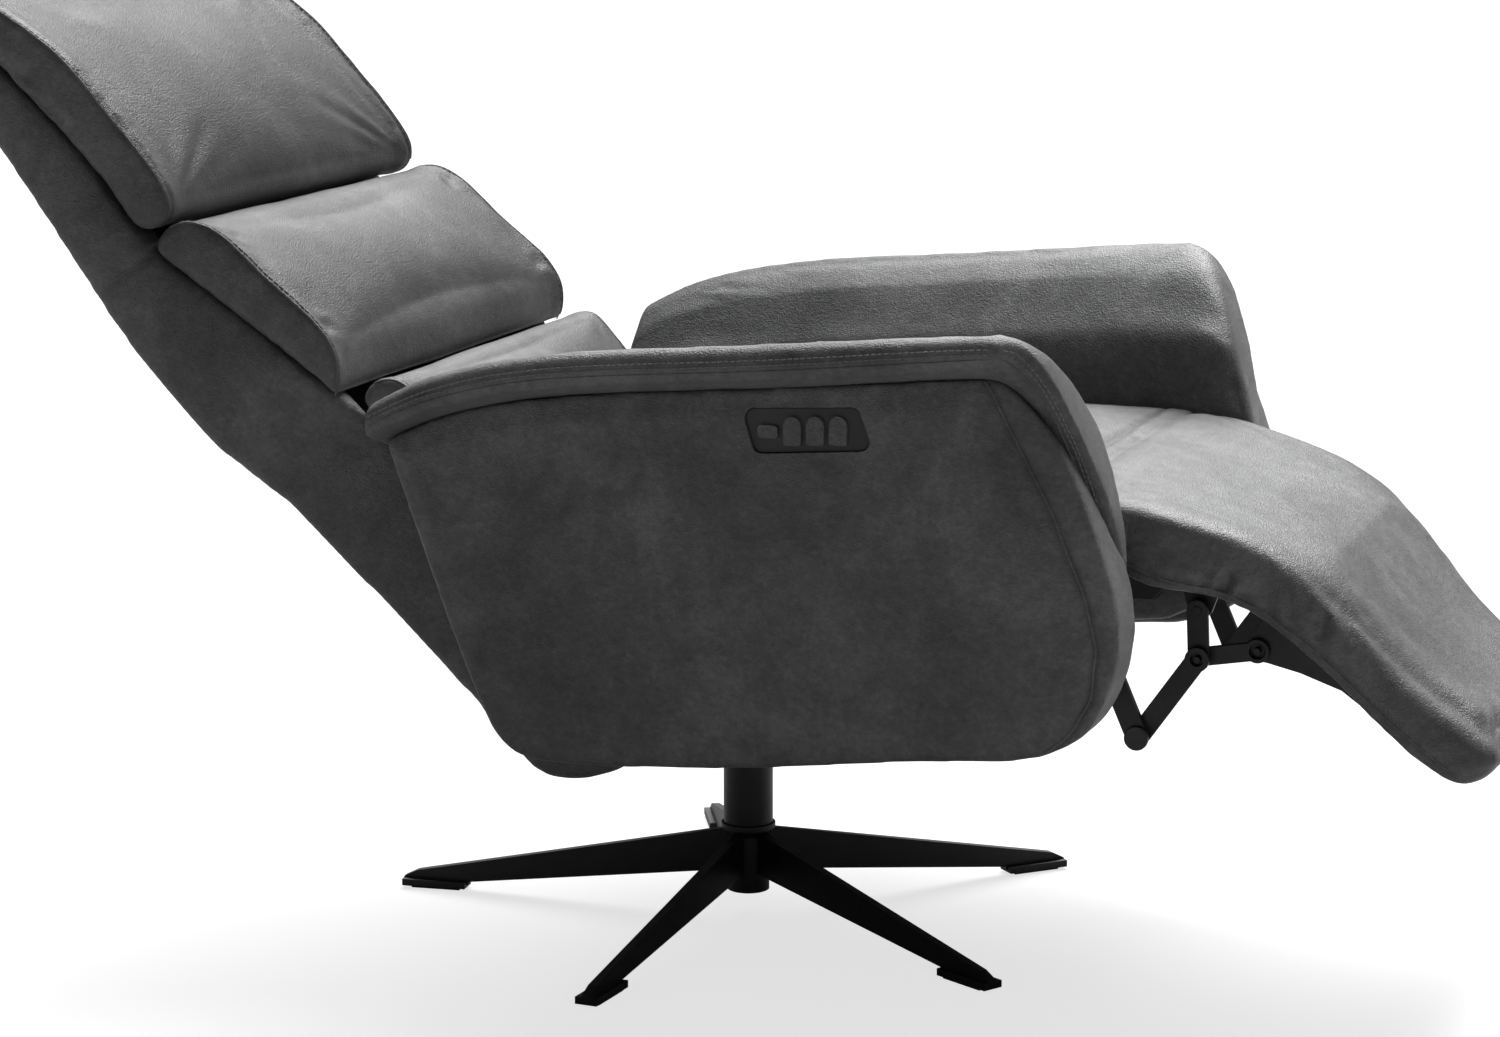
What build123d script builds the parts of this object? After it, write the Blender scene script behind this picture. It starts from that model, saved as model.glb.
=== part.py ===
from build123d import *
import os
from math import atan2, cos, degrees, hypot, radians, sin

# Recliner armchair on a swivel star base, in its reclined position with the leg rest out.
# Millimetres. Origin on the floor under the swivel axis, +X to the sitter's front,
# +Y to the sitter's left, +Z up. Side outlines are lists of (x, z).

# ---- driving dimensions -------------------------------------------------
CLEAR = 0.4               # gap between pieces of different bodies
RUN = 0.05                # radial clearance of pins in their holes

# swivel base
LEG_ANGLES = (45, 115.5, 186, 265, 329)
LEG_REACH = 352
LEG_THICK = 9
GLIDE_THICK = 2
HUB_R = 20.5
RING_R = 26.5
POST_R = 24
POST_WALL = 3
POST_BOTTOM = 88
POST_TOP = 214
SPINDLE_R = 11

# carriage
PLATE_BOTTOM = 240
PLATE_THICK = 6
BEAM_X = 75               # cross beams at +- this
BEAM_SIZE = 40
RAIL_BOTTOM = PLATE_BOTTOM + PLATE_THICK + BEAM_SIZE
RAIL_TOP = RAIL_BOTTOM + 50
RAIL_IN = 228             # |y| of the rail's two faces
RAIL_OUT = 248
RAIL_REAR = -130
RAIL_FRONT = 345
DECK_Z = 368              # underside of the webbing
WEB_THICK = 2.5

# joint axes (x, z)
BACK_PIVOT = (-170, 370)
HEAD_PIVOT = (-493, 700)
CALF_PIVOT = (388, 408)
FOOT_PIVOT = (545, 372)
TORQUE_PIVOT = (372, 397)
KNEE = (435, 252)
STRUT_TOP = (484, 368)
STRUT_FOOT = (486, 325)
LINK_END = (537, 334)

# arms, |y| of their layers
ARM_IN = 250.5
PAD_BACK = 267.5
BODY_IN = 268
BODY_OUT = 335
CORE_THICK = 18
LIP_OUT = 361

# back and leg rest
BACK_HALF = 277
BACK_HALF_LOW = 248
POCKET_HALF = 226.5
SEAT_HALF = 246
ROLL_R = 92               # lower end of the lumbar cushion, round the back pivot
ROLL_IN = 52
HEAD_ROLL_R = 25          # lower end of the head cushion, round its hinge
LEG_HALF = 244

# linkage layers, |y| from inside to outside
L_PLATE = (163, 168.5)
L_SHORT = (169.5, 174)
L_STRUT = (175.5, 180.5)
L_KNEE = (181.8, 187)
L_LOWER = (188, 194)
LINK_W = 19

# motors
LEG_MOTOR_Y = 70
BACK_MOTOR_Y = -70
LEG_MOTOR_PIVOT = (-BEAM_X, 304)
BACK_MOTOR_PIVOT = (BEAM_X, 306)
CRANK_LUG = (404, 359)
BACK_LUG = (-168, 300)
MOTOR_R = 18
ROD_R = 7

# control panel on the sitter's right arm
PANEL_CORNERS = [(114, 552), (219, 558), (233, 522), (126, 514)]
PANEL_FACE = 333.6        # |y| of its outer face
PANEL_THICK = 5
ROCKER_X = (160, 180.5, 201)
ROCKER_Z = (535, 536.2, 537.4)
ROCKER_W = 14.5
ROCKER_H = 23
POWER_KEY = (138, 533.5)

# ---- outlines -----------------------------------------------------------
CREST = [(-238, 540), (-150, 577), (0, 601), (180, 616), (352, 632)]
ARM_BODY = [
    [(-235, 517), (-219, 477), (-177, 361), (-132, 253)],
    [(-132, 253), (-115, 231), (-91, 220)],
    [(-91, 220), (-23, 219), (166, 235), (348, 254)],
    [(348, 254), (393, 265), (424, 285), (441, 313), (451, 349), (451, 388), (439, 439), (420, 490)],
    [(420, 490), (389, 548), (351, 590)],
    [(351, 590), (351, 640)],
    [(351, 640), (-235, 640)],
    [(-235, 640), (-235, 517)],
]
ARM_CORE = [(-190, 425), (-118, 262), (-20, 250), (160, 262), (350, 282), (405, 320), (410, 390),
            (382, 466), (345, 504), (200, 490), (0, 474), (-150, 448)]
ARM_WALL = [(-232, 485), (-180, 355), (-135, 262), (-100, 232), (-20, 228), (350, 262), (400, 285),
            (432, 330), (440, 390), (436, 459), (424, 510), (410, 545), (385, 560), (352, 560),
            (180, 545), (0, 530), (-150, 506), (-215, 480)]
ARM_FRONT = [
    [(338, 630), (352, 632)],
    [(352, 632), (375, 618), (394, 589), (410, 551), (424, 510), (436, 459), (440, 420)],
    [(440, 420), (428, 420)],
    [(428, 420), (412, 470), (395, 515), (372, 560), (345, 590), (338, 594)],
    [(338, 594), (338, 630)],
]
ARM_FRONT_SECTION = [(250.5, 400), (250.5, 500), (262, 560), (295, 604), (325, 624), (345, 633), (345, 606),
                     (324, 550), (300, 490), (280, 440), (272, 400)]
ARM_BOLTS = [(-60, 311), (130, 311), (300, 311)]

SEAT = [
    [(-100, 370.9), (305, 370.9)],
    [(305, 370.9), (330, 388)],
    [(330, 388), (350, 411)],
    [(350, 411), (383, 420)],
    [(383, 420), (383, 470)],
    [(383, 470), (376, 478), (360, 480)],
    [(360, 480), (200, 477), (0, 468), (-110, 462), (-160, 450)],
    [(-160, 450), (-100, 370.9)],
]
CALF_PAD = [
    [(390, 436), (402, 424), (423, 413)],
    [(423, 413), (465, 397), (515, 388), (540.5, 373.5)],
    [(540.5, 373.5), (552, 436)],
    [(552, 436), (530, 448), (490, 460), (440, 473), (386, 479)],
    [(386, 479), (385, 460), (390, 436)],
]
CALF_BOARD = [(404, 424), (423, 414.5), (465, 398.5), (515, 389.5), (538, 376), (541, 388), (518, 401),
              (468, 410), (426, 426), (410, 434)]
FOOT_PAD = [
    [(549, 369.5), (588, 341), (651, 281), (714, 229)],
    [(714, 229), (721, 226)],
    [(721, 226), (742, 236), (756, 252), (754, 262)],
    [(754, 262), (735, 275), (695, 303), (643, 354), (590, 410), (557, 435)],
    [(557, 435), (549, 369.5)],
]
FOOT_BOARD = [(556, 367), (588, 343), (651, 283), (708, 236), (716, 245), (659, 292), (596, 352), (560, 378)]
LEG_PLAN = [(380, 244), (470, 240), (552, 222), (640, 205), (760, 180)]

SHELL = [
    [(-748, 866), (-646, 741), (-549, 608)],
    [(-549, 608), (-496, 540), (-395, 442), (-294, 350), (-195, 258), (-136, 197)],
    [(-136, 197), (-116, 181), (-89, 177), (-60, 184), (-34, 193)],
    [(-34, 193), (-36, 212)],
    [(-36, 212), (-72, 207), (-105, 215), (-140, 248), (-170, 287), (-190, 330), (-200, 380)],
    [(-200, 380), (-222, 425), (-247, 467)],
    [(-247, 467), (-306, 527), (-386, 589), (-477, 648)],
    [(-477, 648), (-500, 668), (-577, 758), (-638, 813), (-708, 886)],
    [(-708, 886), (-730, 888), (-748, 866)],
]
SHELL_POCKET = [(-606, 738), (-530, 632), (-478, 562), (-380, 468), (-280, 376), (-182, 284), (-125, 226),
                (-100, 240), (-100, 480), (-240, 520), (-420, 680), (-555, 795)]
MIDDLE = [
    [(-304, 531), (-299, 552), (-305, 577), (-335, 610), (-384, 649), (-419, 678), (-439, 687)],
    [(-439, 687), (-462, 686), (-478, 676), (-486, 660), (-480, 651)],
    [(-480, 651), (-389, 592), (-304, 531)],
]
HEAD_FRONT = [(-473, 706), (-484, 733), (-524, 778), (-574, 832), (-635, 874), (-672, 893)]
HEAD_TOP = [(-672, 893), (-694, 902), (-708, 901), (-706, 892)]
HEAD_BACK = [(-706, 892), (-638, 818), (-578, 762)]
BACK_BAR = [(-170, 370), (-232, 400), (-293, 450), (-383, 527), (-478, 604), (-550, 690)]
BACK_TUBES = [(-293, 450), (-430, 566), (-545, 684)]


# ---- small helpers ------------------------------------------------------
def polygon(points):
    """Face with straight edges through the points."""
    return make_face(Polyline(*points, close=True))


def outline(*runs):
    """Face bounded by runs of points: two points make a line, more make a smooth curve."""
    return make_face([Line(*run) if len(run) == 2 else Spline(*run) for run in runs])


def strip(points, width):
    """Flat bar of constant width with round ends along a run of points."""
    face = None
    for (x0, z0), (x1, z1) in zip(points, points[1:]):
        slot = SlotCenterToCenter(hypot(x1 - x0, z1 - z0), width)
        turned = Rot(0, 0, degrees(atan2(z1 - z0, x1 - x0))) * slot
        placed = Pos((x0 + x1) / 2, (z0 + z1) / 2) * turned
        face = placed if face is None else face + placed
    return face


def across(face, y_low, y_high):
    """Solid between two y values from a face drawn in the XZ plane."""
    return extrude(Plane.XZ.offset(-y_high) * face, amount=y_high - y_low)


def pin(centre, radius, y_low, y_high):
    return across(Pos(*centre) * Circle(radius), y_low, y_high)


def ring(centre, r_in, r_out, y_low, y_high):
    return across(Pos(*centre) * (Circle(r_out) - Circle(r_in)), y_low, y_high)


def upright(radius, z_low, z_high, x=0, y=0):
    """Vertical cylinder."""
    return Pos(x, y, z_low) * extrude(Circle(radius), amount=z_high - z_low)


def block(x_low, x_high, y_low, y_high, z_low, z_high):
    size = (x_high - x_low, y_high - y_low, z_high - z_low)
    middle = ((x_low + x_high) / 2, (y_low + y_high) / 2, (z_low + z_high) / 2)
    return Pos(*middle) * Box(*size)


def save(name, *shapes):
    solids = [solid for shape in shapes for solid in shape.solids()]
    export_step(solids[0] if len(solids) == 1 else Compound(children=solids), f"parts/{name}.step")


def both(left):
    """A piece of the left side (+Y) and its mirror image on the right."""
    return [left, mirror(left, about=Plane.XZ)]


# ---- swivel base --------------------------------------------------------
def make_base():
    profile = Polyline((0, 20), (HUB_R, 20), (HUB_R, 76), (RING_R, 82), (RING_R, POST_BOTTOM),
                       (POST_R - POST_WALL, POST_BOTTOM), (POST_R - POST_WALL, 118), (0, 118), close=True)
    hub = revolve(Plane.XZ * make_face(profile), Axis.Z)
    save("base_hub", hub)

    blade = polygon([(0, 41), (0, 85), (338, 17), (LEG_REACH, 10), (LEG_REACH, 5), (285, 5), (285, 8)])
    leg = across(blade, -LEG_THICK / 2, LEG_THICK / 2)
    foot = Pos((287 + LEG_REACH) / 2, 0, 5.5) * Box(LEG_REACH - 287, 22, 7)
    arm = (leg + foot) - hub
    glide = Pos(318, 0, 1) * Box(50, 18, GLIDE_THICK)
    for number, angle in enumerate(LEG_ANGLES, 1):
        save(f"base_leg_{number}", Rot(0, 0, angle) * arm)
    save("floor_glides", *[Rot(0, 0, angle) * glide for angle in LEG_ANGLES])

    tube = Circle(POST_R) - Circle(POST_R - POST_WALL)
    save("post_tube", Pos(0, 0, POST_BOTTOM) * extrude(tube, amount=POST_TOP - POST_BOTTOM))
    plug = upright(POST_R - POST_WALL, POST_TOP - 22, POST_TOP)
    save("swivel_spindle", plug + upright(SPINDLE_R, POST_TOP, 252))
    washer = Circle(22) - Circle(SPINDLE_R)
    clip = Circle(17) - Circle(SPINDLE_R)
    save("spindle_washers", Pos(0, 0, POST_TOP) * extrude(washer, amount=3),
         Pos(0, 0, PLATE_BOTTOM + PLATE_THICK + CLEAR) * extrude(clip, amount=3.5))


# ---- carriage: what turns on the post -----------------------------------
def make_carriage():
    bore = upright(SPINDLE_R + RUN, 200, 260)
    bush_bottom = POST_TOP + 3 + CLEAR
    save("swivel_bush", upright(19, bush_bottom, PLATE_BOTTOM) - bore)

    holes = [(x, y) for x in (-BEAM_X, BEAM_X) for y in (-70, 70)]
    plate = block(-105, 105, -90, 90, PLATE_BOTTOM, PLATE_BOTTOM + PLATE_THICK) - bore
    bolts = []
    for x, y in holes:
        shank = upright(4, PLATE_BOTTOM - 5, PLATE_BOTTOM + PLATE_THICK + 8, x, y)
        plate -= shank
        bolts.append(shank + upright(6.5, PLATE_BOTTOM - 5, PLATE_BOTTOM, x, y))
    save("swivel_plate", plate)

    beams = []
    for x in (-BEAM_X, BEAM_X):
        half = BEAM_SIZE / 2
        outer = block(x - half, x + half, -RAIL_OUT, RAIL_OUT, PLATE_BOTTOM + PLATE_THICK, RAIL_BOTTOM)
        inner = block(x - half + 3, x + half - 3, -300, 300, PLATE_BOTTOM + PLATE_THICK + 3, RAIL_BOTTOM - 3)
        beam = outer - inner
        for shank in bolts:
            beam -= shank
        beams.append(beam)
    save("cross_beams", *beams)
    save("swivel_bolts", *bolts)

    rail = block(RAIL_REAR, RAIL_FRONT, RAIL_IN, RAIL_OUT, RAIL_BOTTOM, RAIL_TOP)
    rail -= block(RAIL_REAR - 1, RAIL_FRONT + 1, RAIL_IN + 2, RAIL_OUT - 2, RAIL_BOTTOM + 2, RAIL_TOP - 2)
    save("side_rails", *both(rail))
    save("seat_battens", *both(block(-70, 300, 222, SEAT_HALF, RAIL_TOP, DECK_Z)))
    strap = block(-28, 28, -SEAT_HALF, SEAT_HALF, DECK_Z, DECK_Z + WEB_THICK)
    save("seat_webbing", *[Pos(x, 0, 0) * strap for x in (-38, 32, 102, 172, 242)])

    cushion = across(outline(*SEAT), -SEAT_HALF, SEAT_HALF)
    cushion -= pin(BACK_PIVOT, ROLL_R + 2, -300, 300)
    save("seat_cushion", cushion)

    # front plates carry the torque tube and the leg rest hinges
    shape = polygon([(288, 288), (345, 288), (384, 335), (395, 368), (398, 402), (396, 413), (388, 417),
                     (374, 412), (356, 406), (330, 370), (304, 336), (288, 334)])
    front = across(shape, 221, 226)
    front += across(polygon([(288, 288), (344, 288), (344, 334), (288, 334)]), 225, RAIL_IN)
    front -= pin(TORQUE_PIVOT, 9 + RUN, 200, 240)
    front -= pin(CALF_PIVOT, 5 + RUN, 200, 240)
    save("front_brackets", *both(front))

    # rear plates carry the back on a pin each
    rear = across(strip([BACK_PIVOT, (-112, 318)], 34), 221.8, 225.2)
    rear += across(strip([(-122, 311), (-100, 311)], 34), 225, RAIL_IN)
    axle = pin(BACK_PIVOT, 6, 213, 226)

    # clevis lugs and pins of the two motors
    lugs = []
    pins = []
    for (x, z), y in ((LEG_MOTOR_PIVOT, LEG_MOTOR_Y), (BACK_MOTOR_PIVOT, BACK_MOTOR_Y)):
        for side in (-1, 1):
            cheek = polygon([(x - 14, RAIL_BOTTOM), (x + 14, RAIL_BOTTOM), (x + 9, z + 9), (x - 9, z + 9)])
            middle = y + side * 14
            lugs.append(across(cheek, middle - 2, middle + 2) - pin((x, z), 5, y - 30, y + 30))
        pins.append(pin((x, z), 5, y - 17, y + 17))
    save("pivot_brackets", *both(rear - axle), *lugs)
    save("pivot_pins", *both(axle), *pins)

    case = block(-BEAM_X + 20, BEAM_X - 20, 110, 200, PLATE_BOTTOM + PLATE_THICK, 281)
    save("control_box", fillet(case.edges().filter_by(Axis.Z), 6))


# ---- motors -------------------------------------------------------------
def make_motor(name, pivot, lug, y, housing, reach, rod_start, eye_bore):
    """Linear motor: a body on its rear pin and a rod whose eye ends at the lug."""
    angle = degrees(atan2(lug[1] - pivot[1], lug[0] - pivot[0]))
    length = hypot(lug[0] - pivot[0], lug[1] - pivot[1])
    place = Pos(pivot[0], y, pivot[1]) * Rot(0, -angle, 0)

    def along(radius, start, end):
        return Pos(start, 0, 0) * Rot(0, 90, 0) * extrude(Circle(radius), amount=end - start)

    side = 1 if y > 0 else -1
    body = across(Circle(11), -10, 10) + block(4, 26, -9, 9, -9, 9)
    body += along(MOTOR_R, 24, housing) + along(12, housing, reach)
    low, high = sorted((side * 10, side * 30))
    body += Pos(0, side * 32, 0) * along(15, 28, 120) + block(34, 70, low, high, -12, 12)
    body -= across(Circle(5 + RUN), -20, 20)
    body -= along(ROD_R + RUN, 50, reach + 1)
    save(f"{name}_motor_body", place * body)

    eye = across(Circle(eye_bore + 4) - Circle(eye_bore), -6, 6)
    rod = along(ROD_R, rod_start, length - eye_bore - 1) + Pos(length, 0, 0) * eye
    rod -= Pos(length, 0, 0) * across(Circle(eye_bore), -20, 20)
    save(f"{name}_motor_rod", place * rod)


def make_motors():
    make_motor("leg", LEG_MOTOR_PIVOT, CRANK_LUG, LEG_MOTOR_Y, 300, 330, 240, 7)
    make_motor("back", BACK_MOTOR_PIVOT, BACK_LUG, BACK_MOTOR_Y, 122, 150, 62, 10)


# ---- back ---------------------------------------------------------------
def back_width(depth_low, depth_high):
    """Solid that narrows the back where it passes between the arms."""
    right = radians(137.2)
    up = (cos(right), sin(right))
    plane = Plane(origin=(BACK_PIVOT[0], 0, BACK_PIVOT[1]), x_dir=(up[0], 0, up[1]),
                  z_dir=(-up[1], 0, up[0]))
    shape = polygon([(-400, -BACK_HALF_LOW), (185, -BACK_HALF_LOW), (260, -BACK_HALF), (900, -BACK_HALF),
                     (900, BACK_HALF), (260, BACK_HALF), (185, BACK_HALF_LOW), (-400, BACK_HALF_LOW)])
    return extrude(plane.offset(-depth_low) * shape, amount=depth_low + depth_high)


def make_back():
    shell = across(outline(*SHELL), -BACK_HALF, BACK_HALF) & back_width(400, 400)
    shell -= across(polygon(SHELL_POCKET), -POCKET_HALF, POCKET_HALF)
    save("back_shell", shell)

    bar = strip(BACK_BAR, 24) + strip([BACK_PIVOT, BACK_LUG], 24) + strip([(-530, 666), HEAD_PIVOT], 20)
    plate = across(bar, 216, 220) - pin(BACK_PIVOT, 6 + RUN, 200, 240)
    tubes = [pin(centre, 10, -216, 216) for centre in BACK_TUBES]
    lower = pin(BACK_LUG, 7, -216, 216)
    save("back_plates", *both(plate))
    save("back_cross_tubes", *tubes, lower)
    save("headrest_tube", pin(HEAD_PIVOT, 8, -216, 216))
    case = Pos(-520, 0, 655) * Rot(0, 48, 0) * Box(50, 110, 28)
    save("headrest_motor", case)


def make_back_cushions():
    arc_start = 100
    arc_end = 14
    front = [(-292, 523), (-281, 541), (-258, 547), (-236, 529), (-205, 492)]

    def roll_point(radius, angle):
        return (BACK_PIVOT[0] + radius * cos(radians(angle)), BACK_PIVOT[1] + radius * sin(radians(angle)))

    def roll_arc(radius, start, end):
        return ThreePointArc(roll_point(radius, start), roll_point(radius, (start + end) / 2),
                             roll_point(radius, end))

    edges = [
        Spline(*front, roll_point(ROLL_R, arc_start)),
        roll_arc(ROLL_R, arc_start, arc_end),
        Line(roll_point(ROLL_R, arc_end), roll_point(ROLL_IN, arc_end)),
        roll_arc(ROLL_IN, arc_end, 130),
        Line(roll_point(ROLL_IN, 130), (-214, 428)),
        Line((-214, 428), (-241, 471)),
        Line((-241, 471), (-289, 517)),
        Line((-289, 517), front[0]),
    ]
    lumbar = across(make_face(edges), -SEAT_HALF, SEAT_HALF)
    save("lumbar_cushion", lumbar)
    save("middle_cushion", across(outline(*MIDDLE), -BACK_HALF, BACK_HALF))


# ---- headrest -----------------------------------------------------------
def make_headrest():
    def roll_point(angle):
        return (HEAD_PIVOT[0] + HEAD_ROLL_R * cos(radians(angle)),
                HEAD_PIVOT[1] + HEAD_ROLL_R * sin(radians(angle)))

    start = 20
    end = 219
    edges = [
        Spline(roll_point(start), *HEAD_FRONT[1:]),
        Spline(*HEAD_TOP),
        Spline(*HEAD_BACK, roll_point(end)),
        ThreePointArc(roll_point(end), roll_point((start + end + 360) / 2), roll_point(start)),
    ]
    cushion = across(make_face(edges), -BACK_HALF, BACK_HALF)
    cushion -= pin(HEAD_PIVOT, 12.5, -216.5, 216.5)
    for side in (-1, 1):
        low, high = sorted((side * 214.5, side * 221.5))
        cushion -= pin(HEAD_PIVOT, 40, low, high)
    board = polygon([(-535, 722), (-582, 771), (-640, 824), (-646, 830), (-640, 838), (-575, 780),
                     (-527, 730)])
    plate = across(board, -200, 200)
    knuckle = ring(HEAD_PIVOT, 8 + RUN, 12, -15, 15)
    knuckle += across(strip([(-504, 708), (-530, 731)], 6), -15, 15) - pin(HEAD_PIVOT, 10, -30, 30)
    knuckle -= plate
    knuckles = [Pos(0, y, 0) * knuckle for y in (-130, 130)]
    for shape in knuckles:
        cushion -= shape
    save("head_cushion", cushion - plate)
    save("headrest_board", plate)
    save("headrest_knuckles", *knuckles)


# ---- arms ---------------------------------------------------------------
def crest_loft(section):
    """Solid along the arm's crest from a section drawn as (y, height above the crest)."""
    faces = []
    for x, crest in CREST:
        wire = Polyline(*[(x, y, crest + up) for y, up in section], close=True)
        faces.append(make_face(wire))
    return loft(faces)


def make_arms():
    flare = [(ARM_IN, -120), (256, -96), (268, -64), (300, -27), (328, -8), (345, 0), (356, -6),
             (LIP_OUT, -18), (357, -32), (338, -38), (300, -52), (278, -82), (PAD_BACK, -120)]
    cutter = [(240, -118), (240, 60), (380, 60), (380, -38), (338, -38), (300, -52), (278, -82),
              (PAD_BACK, -118)]
    wall = across(polygon(ARM_WALL), ARM_IN, PAD_BACK)
    section = make_face(Polyline(*[(300, y, z) for y, z in ARM_FRONT_SECTION], close=True))
    front = across(outline(*ARM_FRONT), ARM_IN, 345) & extrude(section, amount=200, dir=(1, 0, 0))
    pad = wall + crest_loft(flare) + front
    bolts = [pin(centre, 6, RAIL_OUT, BODY_IN + 12) for centre in ARM_BOLTS]
    for bolt in bolts:
        pad -= bolt

    body = across(outline(*ARM_BODY), BODY_IN, BODY_OUT)
    core = across(polygon(ARM_CORE), BODY_IN, BODY_IN + CORE_THICK)
    above_front = polygon([(338, 592), (346, 588), (480, 588), (480, 700), (338, 700)])
    body = body - crest_loft(cutter) - pad - core - across(above_front, 240, 380)
    body = max(body.solids(), key=lambda solid: solid.volume)
    for bolt in bolts:
        core -= bolt
    save("arm_cores", *both(core))
    save("arm_pad_left", pad)
    save("arm_pad_right", mirror(pad, about=Plane.XZ))
    save("arm_bolts", *bolts, *[mirror(bolt, about=Plane.XZ) for bolt in bolts])
    save("arm_body_left", body)
    make_panel(mirror(body, about=Plane.XZ))


def panel_outline(grow=0.0):
    face = polygon(PANEL_CORNERS)
    face = fillet(face.vertices(), 9)
    return offset(face, amount=grow) if grow else face


def rocker_face(x, z, grow=0.0):
    """Key with a round top and a flat foot."""
    radius = ROCKER_W / 2 + grow
    low = z - ROCKER_H / 2 - grow
    shoulder = z + ROCKER_H / 2 - ROCKER_W / 2
    foot = Pos(x, (low + shoulder) / 2) * Rectangle(2 * radius, shoulder - low)
    return foot + Pos(x, shoulder) * Circle(radius)


def make_panel(arm_body):
    pocket = across(panel_outline(1.0), -BODY_OUT - 5, -312)
    save("arm_body_right", arm_body - pocket)
    plate = across(panel_outline(), -PANEL_FACE, -PANEL_FACE + PANEL_THICK)
    for x, z in zip(ROCKER_X, ROCKER_Z):
        plate -= across(rocker_face(x, z, 0.7), -340, -320)
    key = Pos(*POWER_KEY) * RectangleRounded(17, 10, 2)
    plate -= across(Pos(*POWER_KEY) * RectangleRounded(18, 11, 2.4), -340, -320)
    save("control_panel", plate)
    save("switch_housing", across(offset(panel_outline(), amount=-1), -323, -312))
    for number, (x, z) in enumerate(zip(ROCKER_X, ROCKER_Z), 1):
        save(f"rocker_{number}", across(rocker_face(x, z), -334.6, -329.2))
    save("power_key", across(key, -334.4, -327))


# ---- leg rest -----------------------------------------------------------
def leg_plan():
    right = [(x, -y) for x, y in reversed(LEG_PLAN)]
    return Pos(0, 0, 150) * extrude(polygon(LEG_PLAN + right), amount=400)


def make_leg_rest():
    plan = leg_plan()
    board = across(polygon(CALF_BOARD), -205, 205)
    foot_board = across(polygon(FOOT_BOARD), -172, 172)
    calf = (across(outline(*CALF_PAD), -LEG_HALF, LEG_HALF) & plan) - board
    calf -= Pos(0, 0, -8) * board
    foot = (across(outline(*FOOT_PAD), -LEG_HALF, LEG_HALF) & plan) - foot_board
    foot -= Pos(-6, 0, -6) * foot_board
    for shape in hinge_arms():
        calf -= shape
    save("calf_pad", calf)
    save("calf_board", board)
    save("foot_pad", foot)
    save("foot_board", foot_board)


# ---- leg rest linkage ---------------------------------------------------
def make_linkage():
    pivot = TORQUE_PIVOT
    crank = across(strip([pivot, CRANK_LUG], 22), 54, 60) - pin(CRANK_LUG, 5, 50, 70)
    save("torque_shaft", ring(pivot, 6, 9, -228, 228) + (crank - pin(pivot, 8, 50, 70)))

    lower = across(strip([pivot, KNEE], 20), *L_LOWER) - pin(pivot, 9, 180, 200)
    save("lower_links", *both(lower - pin(KNEE, 4, 180, 200)))
    rivet = pin(KNEE, 4, L_KNEE[0], L_LOWER[1]) + pin(KNEE, 11, L_LOWER[1], L_LOWER[1] + 4)
    save("knee_rivets", *both(rivet))
    knee = across(strip([KNEE, STRUT_FOOT], LINK_W), *L_KNEE) - pin(KNEE, 4 + RUN, 180, 200)
    knee += pin(STRUT_FOOT, 11, *L_KNEE)
    save("knee_links", *both(knee - pin(STRUT_FOOT, 6, 180, 200)))

    strut = across(strip([STRUT_TOP, STRUT_FOOT], LINK_W), *L_STRUT)
    strut -= pin(STRUT_TOP, 4 + RUN, 170, 190)
    strut += pin(STRUT_FOOT, 3, L_SHORT[0], L_KNEE[1])
    save("strut_links", *both(strut))
    short = across(strip([STRUT_FOOT, LINK_END], 17), *L_SHORT)
    short += pin(LINK_END, 11, *L_SHORT)
    short -= pin(STRUT_FOOT, 3 + RUN, 160, 180)
    save("short_links", *both(short - pin(LINK_END, 7, 160, 180)))

    board = across(polygon(CALF_BOARD), -205, 205)
    foot_board = across(polygon(FOOT_BOARD), -172, 172)
    # ear under the calf board with the strut's pin
    ear = across(polygon([(464, 398.2), (504, 391.2), (494, 364), (474, 364)]), *L_PLATE)
    ear += pin(STRUT_TOP, 10, *L_PLATE) + pin(STRUT_TOP, 4, L_PLATE[0], L_STRUT[1] + 1)
    ear += across(polygon([(466, 400), (507, 392), (507, 387.4), (465, 394.6)]), 130, L_PLATE[1])
    save("calf_brackets", *both(ear - board), *hinge_arms())

    # plate under the foot board with the short link's pin
    shape = polygon([(556, 367), (541, 362), (527, 344), (529, 325), (545, 323), (575, 316), (612, 303),
                     (640, 283), (655, 276.5), (651, 283), (588, 343)])
    foot = across(shape, *L_PLATE) + pin(LINK_END, 3, L_PLATE[0], L_SHORT[1] + 0.5)
    flange = polygon([(588, 343), (651, 283), (697, 245), (694, 241.5), (648, 279.5), (585, 339.5)])
    foot += across(flange, 125, L_PLATE[1])
    save("foot_brackets", *both(foot - foot_board))


def hinge_arms():
    """Arms under the calf board, each with the pin that turns in the front bracket."""
    arm = across(strip([CALF_PIVOT, (410, 416)], 14), 214, 219)
    arm += pin(CALF_PIVOT, 5, 214, 226.5)
    arm += across(polygon([(402, 414), (412, 408), (430, 407), (426, 424), (404, 424)]), 190, 219)
    return both(arm - across(polygon(CALF_BOARD), -205, 205))


os.makedirs("parts", exist_ok=True)
make_base()
make_carriage()
make_motors()
make_back()
make_back_cushions()
make_headrest()
make_arms()
make_leg_rest()
make_linkage()
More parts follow.
